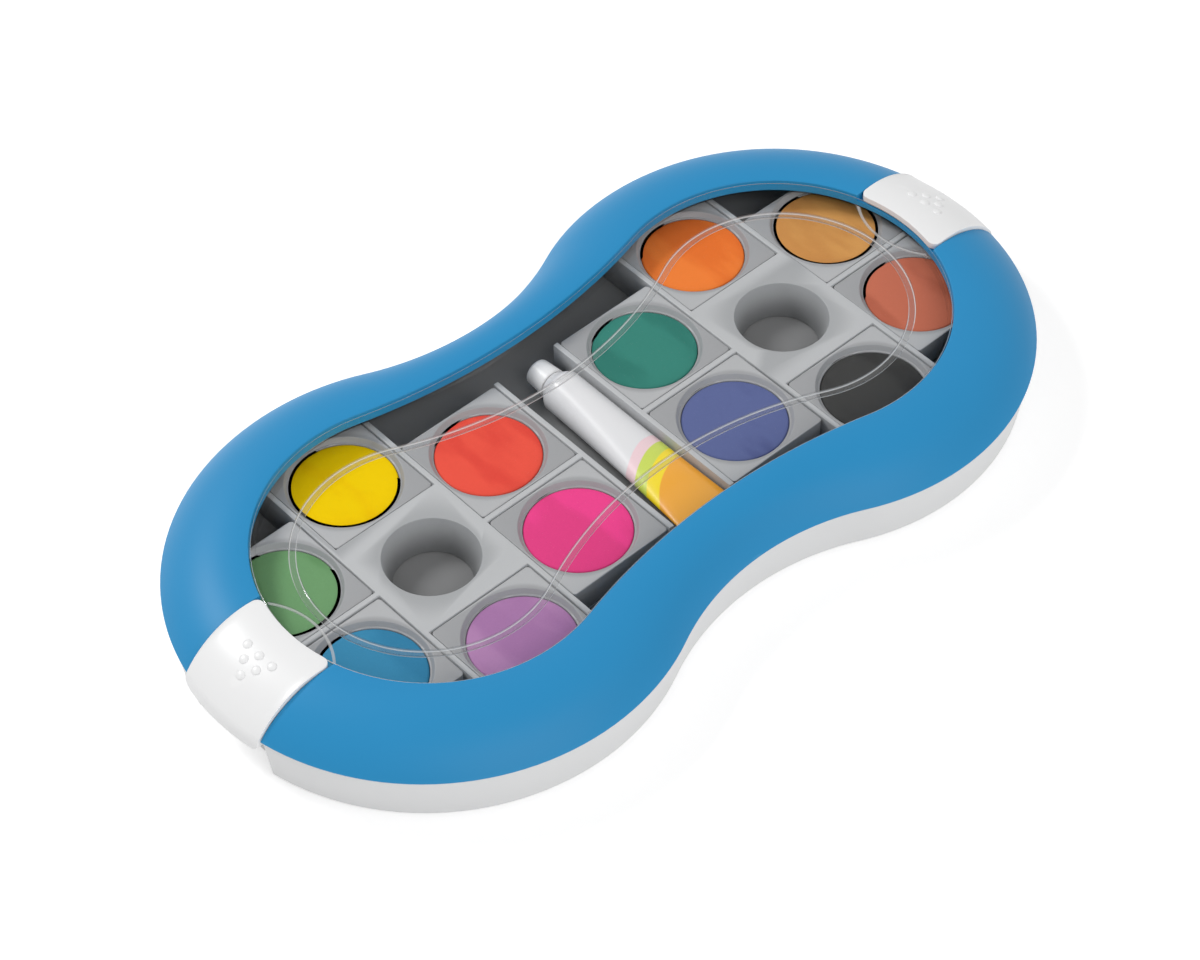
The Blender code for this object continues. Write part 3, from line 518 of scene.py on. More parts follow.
def make_painted_shade_group():
    """Paints shade into a colour, darker from one height down to another."""
    group, entry, leave = new_group(
        "depth_shade",
        (
            ("Colour", "NodeSocketColor", (0.5, 0.5, 0.5, 1.0)),
            ("Deep", "NodeSocketFloat", 0.7),
            ("Low", "NodeSocketFloat", 0.0),
            ("High", "NodeSocketFloat", 0.02),
        ),
        (("Colour", "NodeSocketColor"),),
    )
    place = group.nodes.new("ShaderNodeTexCoord").outputs["Object"]
    parts = add_node(group, "ShaderNodeSeparateXYZ")
    group.links.new(place, parts.inputs[0])
    height = add_node(group, "ShaderNodeMapRange")
    height.interpolation_type = "SMOOTHSTEP"
    group.links.new(parts.outputs["Z"], height.inputs["Value"])
    group.links.new(entry.outputs["Low"], height.inputs["From Min"])
    group.links.new(entry.outputs["High"], height.inputs["From Max"])
    group.links.new(entry.outputs["Deep"], height.inputs["To Min"])
    scaled = add_node(group, "ShaderNodeVectorMath", operation="SCALE")
    group.links.new(entry.outputs["Colour"], scaled.inputs[0])
    group.links.new(height.outputs["Result"], scaled.inputs["Scale"])
    group.links.new(scaled.outputs["Vector"], leave.inputs["Colour"])
    return group


MOULDED_SKIN = make_moulding_group()
EDGE_WEAR_AND_HIGHLIGHT = make_edge_wear_and_highlight_group()
PAINTED_DEPTH_SHADE = make_painted_shade_group()
print("node groups:", [group.name for group in (MOULDED_SKIN, EDGE_WEAR_AND_HIGHLIGHT, PAINTED_DEPTH_SHADE)])


# %% A plastic from the two groups
BUMP_DEPTH = 0.02 * MM
PLASTIC_IOR = 1.49
EDGE_GAIN = 1.35
EDGE_LIFT = 0.03


def new_material(name):
    material = bpy.data.materials.new(name)
    material.use_nodes = True
    tree = material.node_tree
    return material, tree, tree.nodes["Principled BSDF"]


def place_group(tree, group, **values):
    node = add_node(tree, "ShaderNodeGroup", node_tree=group)
    set_inputs(node, **values)
    return node


def add_bump(tree, shader, height, depth=BUMP_DEPTH, strength=0.5):
    bump = add_node(tree, "ShaderNodeBump")
    set_inputs(bump, Strength=strength, Distance=depth)
    tree.links.new(height, bump.inputs["Height"])
    tree.links.new(bump.outputs["Normal"], shader.inputs["Normal"])


def plastic(
    name, colour, roughness, mottle=0.04, grain=0.5, edge_colour=None, edge_amount=0.25, gloss=0.5,
    depths=None,
):
    """Moulded plastic with its mottle, uneven gloss, fine grain, and edges lightened partly by
    handling wear and partly as a painted highlight.
    """
    material, tree, shader = new_material(name)
    skin = place_group(
        tree, MOULDED_SKIN, Colour=(*colour, 1.0), Roughness=roughness, Mottle=mottle,
        Grain=grain,
    )
    light = edge_colour or tuple(min(1.0, value * EDGE_GAIN + EDGE_LIFT) for value in colour)
    # Convex edges get a lighter colour: partly handling wear, partly a painted highlight
    edges = place_group(tree, EDGE_WEAR_AND_HIGHLIGHT, Edge_Colour=(*light, 1.0), Amount=edge_amount)
    tree.links.new(skin.outputs["Colour"], edges.inputs["Colour"])
    if depths:
        deep, low, high = depths
        # Painted shade: the colour is darkened towards the foot of a recess
        shade = place_group(tree, PAINTED_DEPTH_SHADE, Deep=deep, Low=low, High=high)
        tree.links.new(edges.outputs["Colour"], shade.inputs["Colour"])
        tree.links.new(shade.outputs["Colour"], shader.inputs["Base Color"])
    else:
        tree.links.new(edges.outputs["Colour"], shader.inputs["Base Color"])
    tree.links.new(skin.outputs["Roughness"], shader.inputs["Roughness"])
    add_bump(tree, shader, skin.outputs["Height"])
    shader.inputs["IOR"].default_value = PLASTIC_IOR
    shader.inputs["Specular IOR Level"].default_value = gloss
    return material


# %% [markdown]
# ## The base
#
# The base is a shallow white tray. Its wall leans outwards towards the rim, so that it
# leaves the mould, and its foot is rounded. Stacked outlines give the outside, where the
# round foot is a quarter circle of insets and heights, and a second stack hollows it out.
# Each end has a finger recess under the latch. The block that makes the recess is also cut,
# one wall thicker, from the hollow: what the hollow loses is the wall round the recess.

# %% The base and its recesses
BASE_FLOOR = 2.0 * MM
BASE_WALL = 2.3 * MM
BASE_SET_BACK = 0.5 * MM
BASE_DRAFT = 1.8 * MM
BASE_FOOT_ROUND = 2.2 * MM
EDGE_ROUND = 0.25 * MM
FOOT_STEPS = 8

FRAME_EDGE = 0.3 * MM
BASE_RIM_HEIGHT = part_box("base_shell")[1].z
FRAME_RIM_HEIGHT = BASE_RIM_HEIGHT + GAP

right_pin = Vector(
    next(joint for joint in frame["joints"] if joint["name"] == "latch_right_turn")["pos_m"]
)
PIN_RADIUS = 1.1 * MM
PIN_GRIP = 1.9 * MM
PIN_SIDES = 32
BARREL_RADIUS = 1.9 * MM
PIN_HALF_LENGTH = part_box("latch_right")[1].y
LATCH_HALF_WIDTH = PIN_HALF_LENGTH - PIN_GRIP - GAP
RECESS_HALF = LATCH_HALF_WIDTH + GAP
RECESS_PLAY = 0.5 * MM
RECESS_X = right_pin.x - BARREL_RADIUS - RECESS_PLAY
OVERRUN = 6.0 * MM
OVERLAP = 0.4 * MM
WALL_SHARES = (0.25, 0.5, 0.75, 1.0)


def base_stations():
    stations = []
    wall_foot = BASE_SET_BACK + BASE_DRAFT
    for step in range(FOOT_STEPS + 1):
        angle = math.pi / 2 * step / FOOT_STEPS
        inset = wall_foot + BASE_FOOT_ROUND * (1 - math.sin(angle))
        stations.append((RIM, inset, BASE_FOOT_ROUND * (1 - math.cos(angle))))
    for share in WALL_SHARES:
        inset = wall_foot - share * BASE_DRAFT
        height = BASE_FOOT_ROUND + share * (BASE_RIM_HEIGHT - BASE_FOOT_ROUND)
        stations.append((RIM, inset, height))
    return stations


def hollow_stations():
    slope = BASE_DRAFT / (BASE_RIM_HEIGHT - BASE_FLOOR)
    rim_inset = BASE_SET_BACK + BASE_WALL
    return [
        (RIM, rim_inset + BASE_DRAFT, BASE_FLOOR),
        (RIM, rim_inset, BASE_RIM_HEIGHT),
        (RIM, rim_inset - slope * OVERRUN, BASE_RIM_HEIGHT + OVERRUN),
    ]


def recess_block(side, grown, low, high):
    """A block that fills the recess of one end, grown by the walls round it."""
    half = RECESS_HALF + grown
    xs = sorted((side * (RECESS_X - grown), side * (LOBE_X + RIM_RADIUS + OVERRUN)))
    return block((xs[0], -half, low), (xs[1], half, high))


base = stack("base", base_stations())
hollow = stack("hollow", hollow_stations())
for side in (-1, 1):
    wall = recess_block(side, BASE_WALL, -OVERRUN, BASE_RIM_HEIGHT + 2 * OVERRUN)
    combine(hollow, wall, "DIFFERENCE")
combine(base, hollow, "DIFFERENCE")
for side in (-1, 1):
    recess = recess_block(side, 0.0, -OVERRUN, BASE_RIM_HEIGHT + 2 * OVERRUN)
    combine(base, recess, "DIFFERENCE")
round_edges(base, EDGE_ROUND, degrees=50.0)
for side in (-1, 1):
    hole = rod(
        (side * right_pin.x, 0.0, right_pin.z), PIN_RADIUS + GAP,
        2 * (RECESS_HALF + BASE_WALL + OVERLAP), axis="Y", vertices=PIN_SIDES,
    )
    combine(base, hole, "DIFFERENCE")
smooth(base)
print("base faces:", len(base.data.polygons))

WHITE_PLASTIC = plastic("white_moulding", (0.79, 0.795, 0.80), 0.38, mottle=0.02, grain=0.4)
finish_piece(base, "base", "base_shell", "base", WHITE_PLASTIC)

# %% [markdown]
# ## The tray
#
# Inside the base stands a charcoal tray: a wall that follows the base's outline, and a
# raised floor that shows in the bays beside the racks and at the bottom of the wells. The
# corner between wall and floor is filleted, because a moulded corner is never sharp. A low
# rest on the floor, a block joined to it, carries the flat end of the tube.

# %% The tray
TRAY_WALL = 1.4 * MM
TRAY_FLOOR = 1.5 * MM
TRAY_FLOOR_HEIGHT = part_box("pan_rack_left")[0].z - GAP
TRAY_FILLET = 1.2 * MM
FILLET_STEPS = 5


def fillet_stations():
    """The hollow above the tray's floor, with the fillet round its foot."""
    inner = TRAY_INSET + TRAY_WALL
    stations = [(RIM, inner, tray_high.z + OVERRUN)]
    for step in range(FILLET_STEPS + 1):
        angle = math.pi / 2 * step / FILLET_STEPS
        inset = inner + TRAY_FILLET * (1 - math.cos(angle))
        stations.append((RIM, inset, TRAY_FLOOR_HEIGHT + TRAY_FILLET * (1 - math.sin(angle))))
    return stations


under_floor = [
    (RIM, TRAY_INSET + TRAY_WALL, TRAY_FLOOR_HEIGHT - TRAY_FLOOR),
    (RIM, TRAY_INSET + TRAY_WALL, tray_low.z - OVERRUN),
]
tray = stack("tray", [(RIM, TRAY_INSET, tray_low.z), (RIM, TRAY_INSET, tray_high.z)])
for stations in (fillet_stations(), under_floor):
    hollow = stack("hollow", stations)
    for side in (-1, 1):
        grown = BASE_WALL + GAP + TRAY_WALL
        wall = recess_block(side, grown, -2 * OVERRUN, tray_high.z + 2 * OVERRUN)
        combine(hollow, wall, "DIFFERENCE")
    combine(tray, hollow, "DIFFERENCE")
for side in (-1, 1):
    notch = recess_block(side, BASE_WALL + GAP, -OVERRUN, tray_high.z + OVERRUN)
    combine(tray, notch, "DIFFERENCE")
round_edges(tray, EDGE_ROUND, degrees=50.0)

# %% The rest for the tube's flat end
TUBE_REST_THICK = 2.0 * MM
TUBE_FOLD_THICK = 1.6 * MM
TUBE_FOLD_LENGTH = 4.0 * MM
TUBE_FOLD_RISE = 2.0 * MM

tube_low, tube_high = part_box("tube_body")
fold_middle = (tube_low.x + tube_high.x) / 2
rest_half = (tube_high.x - tube_low.x) / 2 - TRAY_WALL
rest_y = tube_low.y + TUBE_FOLD_LENGTH
tube_middle_z = (tube_low.z + tube_high.z) / 2
TUBE_FOLD_HEIGHT = tube_middle_z + TUBE_FOLD_RISE
rest = block(
    (fold_middle - rest_half, rest_y - TUBE_REST_THICK, TRAY_FLOOR_HEIGHT - TRAY_FLOOR / 2),
    (fold_middle + rest_half, rest_y, TUBE_FOLD_HEIGHT - TUBE_FOLD_THICK / 2 - GAP),
)
combine(tray, rest, "UNION")
smooth(tray)
print("tray faces:", len(tray.data.polygons))

CHARCOAL_PLASTIC = plastic("charcoal_moulding", (0.26, 0.262, 0.265), 0.6, grain=0.9, gloss=0.25)
finish_piece(tray, "tray", "inner_tray", "base", CHARCOAL_PLASTIC)

# %% [markdown]
# ## The racks
#
# Each rack is one light grey moulding: three columns of places, ribs between the pans, and
# a water well in the middle. It is carved the way it is used: a stepped block, minus a
# pocket for each pan, minus a tapering bore for the well. The edges are then rounded, and
# those thin bright lines along the ribs come from that rounding and from a painted
# highlight on the edges.

# %% The racks
rack_low, rack_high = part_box("pan_rack_right")
pan_low, pan_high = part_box("pan_teal")
PAN_WIDTH = pan_high.x - pan_low.x
PAN_LENGTH = pan_high.y - pan_low.y
RACK_WALL = 1.6 * MM
RACK_FLOOR = 1.5 * MM
RACK_OPEN_INSET = 0.4 * MM
END_WALL_HALF = 29.0 * MM
WELL_MOUTH_RADIUS = 13.55 * MM
WELL_FLOOR_RADIUS = 11.0 * MM
POCKET_HALF = PAN_WIDTH / 2 + GAP
COLUMN_PITCH = 2 * POCKET_HALF + RACK_WALL
RACK_EDGE = COLUMN_PITCH + POCKET_HALF
RACK_STEP = POCKET_HALF + RACK_WALL
RIB_ROUND = 0.3 * MM
WELL_STEPS = 96

ROW_NEAR = (pan_low.y + pan_high.y) / 2
ROW_FAR = (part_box("pan_orange")[0].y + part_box("pan_orange")[1].y) / 2
SHORT_HALF = ROW_NEAR + PAN_LENGTH / 2 + GAP


def right_rack():
    body = block(
        (LOBE_X - RACK_EDGE - RACK_WALL, -SHORT_HALF, rack_low.z),
        (LOBE_X + RACK_EDGE - RACK_OPEN_INSET, SHORT_HALF, rack_high.z),
    )
    middle = block(
        (LOBE_X - RACK_STEP, rack_low.y, rack_low.z), (LOBE_X + RACK_STEP, rack_high.y, rack_high.z)
    )
    end_wall = block(
        (LOBE_X + RACK_EDGE - OVERRUN, -END_WALL_HALF, rack_low.z),
        (LOBE_X + RACK_EDGE + RACK_WALL, END_WALL_HALF, rack_high.z),
    )
    combine(body, middle, "UNION")
    combine(body, end_wall, "UNION")
    for column, row in ((-1, ROW_NEAR), (0, ROW_FAR), (1, ROW_NEAR)):
        for hand in (-1, 1):
            x = LOBE_X + column * COLUMN_PITCH
            near = row - PAN_LENGTH / 2 - GAP
            ys = sorted((hand * near, hand * (near + PAN_LENGTH + OVERRUN)))
            pocket = block(
                (x - POCKET_HALF, ys[0], rack_low.z + RACK_FLOOR),
                (x + POCKET_HALF, ys[1], rack_high.z + OVERRUN),
            )
            combine(body, pocket, "DIFFERENCE")
    return body


def well_bore():
    """The well's tapering bore: a cone that runs past both faces of the rack."""
    slope = (WELL_MOUTH_RADIUS - WELL_FLOOR_RADIUS) / (rack_high.z - rack_low.z)
    top = rack_high.z + OVERRUN
    foot = rack_low.z - OVERRUN
    middle = (top + foot) / 2
    return rod(
        (LOBE_X, 0.0, middle), WELL_FLOOR_RADIUS - slope * OVERRUN, top - foot,
        vertices=WELL_STEPS, top_radius=WELL_MOUTH_RADIUS + slope * OVERRUN,
    )


rack_right = right_rack()
combine(rack_right, well_bore(), "DIFFERENCE")
round_edges(rack_right, RIB_ROUND, segments=3)
smooth(rack_right)
rack_left = mirrored_copy(rack_right, "rack_left")
smooth(rack_left)
print("rack faces:", len(rack_right.data.polygons))

# The racks' colour carries painted shade, darker towards the foot of the wells and pockets
GREY_PLASTIC = plastic(
    "light_grey_moulding", (0.405, 0.415, 0.425), 0.42, edge_colour=(0.66, 0.67, 0.68),
    edge_amount=0.5, gloss=0.3, depths=(0.5, rack_low.z, rack_high.z),
)
finish_piece(rack_left, "rack_left", "pan_rack_left", "base", GREY_PLASTIC)
finish_piece(rack_right, "rack_right", "pan_rack_right", "base", GREY_PLASTIC)

# %% [markdown]
# ## Pans and tablets of colour
#
# Twelve loose cups hold a pressed tablet each. The cups are alike, so one is modelled and
# copied. It is a block with a shallow round dish and a deeper seat sunk into it, which one
# tool cuts: a flat cone, joined to a straight disc below it.
#
# A tablet is a disc of pressed pigment. Its face was wetted and brushed now and then, so it
# isn't quite flat: rings of inset faces give it enough vertices, and a soft noise that
# reads each tablet's own place raises them by up to three tenths of a millimetre.

# %% One pan
PAN_CORNER = 1.2 * MM
PAN_EDGE_ROUND = 0.3 * MM
tablet_low, tablet_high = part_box("paint_teal")
TABLET_RADIUS = (tablet_high.x - tablet_low.x) / 2
SEAT_PLAY = 0.12 * MM
MOUTH_WIDTH = 1.3 * MM
MOUTH_DEPTH = 1.5 * MM
STEP_WIDTH = 0.45 * MM
PAN_STEPS = 96

SEAT_RADIUS = TABLET_RADIUS + SEAT_PLAY
MOUTH_RADIUS = SEAT_RADIUS + MOUTH_WIDTH
STEP_RADIUS = SEAT_RADIUS + STEP_WIDTH


def pan_cutter(centre):
    """What is sunk into a pan: a dish on top of a straight seat."""
    top = pan_high.z + MOUTH_DEPTH
    slope = (MOUTH_RADIUS - STEP_RADIUS) / MOUTH_DEPTH
    dish = rod(
        (centre.x, centre.y, pan_high.z), STEP_RADIUS, 2 * MOUTH_DEPTH,
        vertices=PAN_STEPS, top_radius=MOUTH_RADIUS + slope * MOUTH_DEPTH,
    )
    seat = rod(
        (centre.x, centre.y, (tablet_low.z - GAP + top) / 2), SEAT_RADIUS,
        top - tablet_low.z + GAP, vertices=PAN_STEPS,
    )
    combine(dish, seat, "UNION")
    return dish


def one_pan():
    piece = block(pan_low, pan_high)
    edit(piece, "EDGE")
    pick(piece, "edges", lambda edge: abs(edge.verts[0].co.z - edge.verts[1].co.z) > MM)
    bpy.ops.mesh.bevel(offset=PAN_CORNER, segments=5)
    leave_edit()
    combine(piece, pan_cutter((pan_low + pan_high) / 2), "DIFFERENCE")
    round_edges(piece, PAN_EDGE_ROUND, segments=3)
    smooth(piece)
    return piece


pan = one_pan()
print("pan faces:", len(pan.data.polygons))

# %% One tablet
TABLET_EDGE = 0.6 * MM
RING_COUNT = 14
WAVE_SIZE = 9.0 * MM
WAVE_HEIGHT = 0.35 * MM
WAVE_FADE = 3.0 * MM


def one_tablet():
    centre = (tablet_low + tablet_high) / 2
    piece = rod(centre, TABLET_RADIUS, tablet_high.z - tablet_low.z, vertices=PAN_STEPS)
    edit(piece, "EDGE")
    pick(piece, "edges", lambda edge: all(v.co.z > tablet_high.z - MERGE for v in edge.verts))
    bpy.ops.mesh.bevel(offset=TABLET_EDGE, segments=4)
    bpy.ops.mesh.select_mode(type="FACE")
    pick(piece, "faces", lambda face: face.normal.z > 0.99 and face.calc_area() > MM * MM)
    ring = (TABLET_RADIUS - TABLET_EDGE) / (RING_COUNT + 1)
    for _ in range(RING_COUNT):
        bpy.ops.mesh.inset(thickness=ring, depth=0.0)
    bpy.ops.mesh.poke()
    leave_edit()
    return piece


def wave_face(piece):
    """Raises the top face a little with a soft noise, and leaves the rim as it is."""
    low = min(corner[2] for corner in piece.bound_box)
    group = piece.vertex_groups.new(name="face")
    middle = sum((Vector(corner) for corner in piece.bound_box), Vector()) / 8
    for vertex in piece.data.vertices:
        away = (vertex.co.xy - middle.xy).length
        if vertex.co.z > low + TABLET_EDGE and away < TABLET_RADIUS - TABLET_EDGE / 2:
            weight = min(1.0, (TABLET_RADIUS - TABLET_EDGE / 2 - away) / WAVE_FADE)
            group.add([vertex.index], weight, "REPLACE")
    apply_modifier(
        piece, "DISPLACE", texture=WAVES, strength=-WAVE_HEIGHT, mid_level=1.0, direction="Z",
        vertex_group="face", texture_coords="LOCAL",
    )


WAVES = bpy.data.textures.new("tablet_waves", "CLOUDS")
WAVES.noise_scale = WAVE_SIZE
WAVES.noise_depth = 2
tablet = one_tablet()
print("tablet faces:", len(tablet.data.polygons))

# %% [markdown]
# ## The pigment
#
# Pressed watercolour is dry and matt, with a fine sandy grain and patches where the brush
# has lifted it. The group mixes a darker, richer shade into the colour along stretched
# noise, so that the patches look like strokes, and sprinkles a grain over them.

# %% Pigment
STROKE_PER_METRE = 70.0
SAND_PER_METRE = 1800.0
STROKE_TURN = math.radians(35.0)
STROKE_STRETCH = (1.0, 0.35, 1.0)
STROKE_LOW = 0.47
STROKE_HIGH = 0.62


def make_pigment_group():
    group, entry, leave = new_group(
        "pressed_pigment",
        (
            ("Colour", "NodeSocketColor", (0.5, 0.5, 0.5, 1.0)),
            ("Deep Colour", "NodeSocketColor", (0.3, 0.3, 0.3, 1.0)),
            ("Strokes", "NodeSocketFloat", 0.6),
            ("Sand", "NodeSocketFloat", 0.14),
        ),
        (
            ("Colour", "NodeSocketColor"),
            ("Roughness", "NodeSocketFloat"),
            ("Height", "NodeSocketFloat"),
        ),
    )
    place = group.nodes.new("ShaderNodeTexCoord").outputs["Object"]
    turn = add_node(group, "ShaderNodeMapping")
    turn.inputs["Rotation"].default_value = (0.0, 0.0, STROKE_TURN)
    turn.inputs["Scale"].default_value = STROKE_STRETCH
    group.links.new(place, turn.inputs["Vector"])
    stroke = noise(group, turn.outputs["Vector"], STROKE_PER_METRE, 3.0)
    sand = noise(group, place, SAND_PER_METRE, 3.0, 0.7)
    patch = ranged(group, stroke, STROKE_LOW, STROKE_HIGH, 0.0, 1.0, smoothly=True)
    amount = computed(group, "MULTIPLY", patch, entry.outputs["Strokes"])
    colour = blended(group, amount, entry.outputs["Colour"], entry.outputs["Deep Colour"])
    speck = computed(group, "SUBTRACT", sand, 0.5)
    grain = computed(group, "MULTIPLY", speck, entry.outputs["Sand"])
    bright = computed(group, "ADD", grain, 1.0)
    scaled = add_node(group, "ShaderNodeVectorMath", operation="SCALE")
    group.links.new(colour, scaled.inputs[0])
    group.links.new(bright, scaled.inputs["Scale"])
    group.links.new(scaled.outputs["Vector"], leave.inputs["Colour"])
    rough = ranged(group, stroke, 0.3, 0.7, 0.62, 0.85)
    group.links.new(rough, leave.inputs["Roughness"])
    height = computed(group, "ADD", sand, stroke)
    group.links.new(height, leave.inputs["Height"])
    return group


PRESSED_PIGMENT = make_pigment_group()

# Each pigment's colour, and the deeper one of its strokes
PIGMENTS = {
    "green": ((0.173, 0.357, 0.163), (0.11, 0.26, 0.10)),
    "blue": ((0.052, 0.270, 0.463), (0.037, 0.21, 0.38)),
    "yellow": ((0.960, 0.650, 0.002), (0.90, 0.53, 0.002)),
    "purple": ((0.490, 0.252, 0.480), (0.37, 0.17, 0.38)),
    "red": ((0.900, 0.104, 0.069), (0.75, 0.06, 0.046)),
    "magenta": ((0.930, 0.070, 0.296), (0.74, 0.06, 0.22)),
    "teal": ((0.050, 0.251, 0.201), (0.033, 0.18, 0.145)),
    "indigo": ((0.125, 0.156, 0.344), (0.082, 0.10, 0.25)),
    "orange": ((0.960, 0.242, 0.048), (0.82, 0.155, 0.027)),
    "black": ((0.062, 0.062, 0.061), (0.035, 0.035, 0.035)),
    "amber": ((0.740, 0.364, 0.110), (0.57, 0.24, 0.07)),
    "brick": ((0.609, 0.175, 0.105), (0.43, 0.11, 0.065)),
}
PIGMENT_DEPTH = 0.06 * MM


def pigment(colour_name):
    colour, deep = PIGMENTS[colour_name]
    material, tree, shader = new_material(f"pigment_{colour_name}")
    paint = place_group(
        tree, PRESSED_PIGMENT, Colour=(*colour, 1.0), Deep_Colour=(*deep, 1.0)
    )
    tree.links.new(paint.outputs["Colour"], shader.inputs["Base Color"])
    tree.links.new(paint.outputs["Roughness"], shader.inputs["Roughness"])
    add_bump(tree, shader, paint.outputs["Height"], PIGMENT_DEPTH, 0.4)
    shader.inputs["Specular IOR Level"].default_value = 0.05
    return material


# %% Twelve pans, twelve tablets
PAN_PLASTIC = plastic(
    "pan_moulding", (0.37, 0.375, 0.385), 0.42, edge_colour=(0.62, 0.63, 0.64), edge_amount=0.45,
    gloss=0.3,
)


def copy_to(piece, name, step):
    """A copy with its own mesh, moved by a step."""
    activate(piece)
    bpy.ops.object.duplicate(linked=False)
    copy = bpy.context.object
    copy.name = name
    copy.location = step
    apply_place(copy)
    return copy


for colour_name in PIGMENTS:
    node_low, node_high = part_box(f"pan_{colour_name}")
    step = node_low - pan_low
    cup = copy_to(pan, f"cup_{colour_name}", step)
    finish_piece(
        cup, f"cup_{colour_name}", f"pan_{colour_name}", "base", PAN_PLASTIC
    )
    disc = copy_to(tablet, f"tablet_{colour_name}", step)
    wave_face(disc)
    smooth(disc)
    finish_piece(
        disc, f"tablet_{colour_name}", f"paint_{colour_name}", "base",
        pigment(colour_name),
    )
for template in (pan, tablet):
    bpy.data.objects.remove(template, do_unlink=True)
print("cups and tablets:", 2 * len(PIGMENTS))

# %% [markdown]
# ## The tube of white
#
# A small soft metal tube lies in the trough between the racks. Such a tube starts as a
# cylinder and is pressed flat at its end, where it is folded over. The model follows that:
# a round section is pulled along the tube and, step by step, made wider and thinner. The
# other end is pulled out in the same way into the shoulder and the neck.

# %% The tube's body
cap_low, cap_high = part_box("tube_cap")
TUBE_RADIUS = (tube_high.z - tube_low.z) / 2
TUBE_X = (cap_low.x + cap_high.x) / 2
TUBE_NECK_RADIUS = 2.6 * MM
TUBE_NECK_LENGTH = 5.4 * MM
TUBE_SHOULDER_RISE = 3.4 * MM
TUBE_SHOULDER_LAND = 1.5 * MM
TUBE_SHOULDER_ROUND = 0.5 * MM
TUBE_SIDES = 64
TUBE_STEPS = 28
TUBE_FLATTENING = 1.3
TUBE_HALF_FOLD_WIDTH = (tube_high.x - tube_low.x) / 2
shoulder_y = tube_high.y - TUBE_NECK_LENGTH - TUBE_SHOULDER_RISE
fold_y = tube_low.y + TUBE_FOLD_LENGTH


def tube_section(share):
    """Centre and half sizes of the body at a share of the way from shoulder to fold."""
    flat = share**TUBE_FLATTENING
    centre = Vector((
        TUBE_X + flat * (fold_middle - TUBE_X),
        shoulder_y + share * (fold_y - shoulder_y),
        tube_middle_z + flat * (TUBE_FOLD_HEIGHT - tube_middle_z),
    ))
    half_width = TUBE_RADIUS + flat * (TUBE_HALF_FOLD_WIDTH - TUBE_RADIUS)
    half_height = TUBE_RADIUS + flat * (TUBE_FOLD_THICK / 2 - TUBE_RADIUS)
    return centre, half_width, half_height


def pull_section(before, after):
    """Extrudes the selected end from one section to the next."""
    step = after[0] - before[0]
    pull(step)
    factors = (after[1] / before[1], 1.0, after[2] / before[2])
    scale_about(after[0], factors)


def make_tube():
    deselect_all()
    start = tube_section(0.0)
    bpy.ops.mesh.primitive_circle_add(
        vertices=TUBE_SIDES, radius=TUBE_RADIUS, fill_type="NGON", location=start[0],
        rotation=(math.radians(90.0), 0.0, 0.0),
    )
    piece = bpy.context.object
    apply_place(piece)
    edit(piece, "FACE")
    bpy.ops.mesh.select_all(action="SELECT")
    section = start
    for index in range(1, TUBE_STEPS + 1):
        after = tube_section(index / TUBE_STEPS)
        pull_section(section, after)
        section = after
    end = (Vector((section[0].x, tube_low.y, section[0].z)), section[1], section[2])
    pull_section(section, end)
    pick(piece, "faces", lambda face: face.calc_center_median().y > shoulder_y - MERGE)
    shoulder = (
        (0.0, TUBE_RADIUS),
        (TUBE_SHOULDER_RISE / 4, TUBE_RADIUS - TUBE_SHOULDER_ROUND),
        (TUBE_SHOULDER_RISE, TUBE_NECK_RADIUS + TUBE_SHOULDER_LAND),
        (TUBE_SHOULDER_RISE, TUBE_NECK_RADIUS),
        (TUBE_SHOULDER_RISE + TUBE_NECK_LENGTH, TUBE_NECK_RADIUS),
    )
    rounds = [(start[0] + Vector((0.0, rise, 0.0)), radius, radius) for rise, radius in shoulder]
    for before, after in zip(rounds, rounds[1:]):
        pull_section(before, after)
    return close_section(piece)


tube = make_tube()
smooth(tube, 40.0)
print("tube faces:", len(tube.data.polygons))


# %% [markdown]
# ## The print on the tube
#
# The white enamel carries a plain printed field over its lower end: an orange field with
# a lime, a yellow and a pale pink band above it. The bands are rings round a point beside
# the tube, so that they cross it as arcs, and a little noise keeps their edges from being
# too exact.

# %% The tube's enamel
PRINT_OUT = 3.0 * MM
PRINT_UP = 2.0 * MM
PRINT_CENTRE = (tube_high.x + PRINT_OUT, tube_low.y + PRINT_UP, 0.0)
PRINT_SOFT = 0.25 * MM
PRINT_WAVE = 0.5 * MM
ENAMEL_WHITE = (0.80, 0.80, 0.815, 1.0)
BANDS = (
    (34.5 * MM, (0.90, 0.66, 0.70, 1.0)),
    (31.5 * MM, (0.62, 0.74, 0.10, 1.0)),
    (28.0 * MM, (0.98, 0.76, 0.01, 1.0)),
    (24.5 * MM, (0.95, 0.42, 0.03, 1.0)),
)


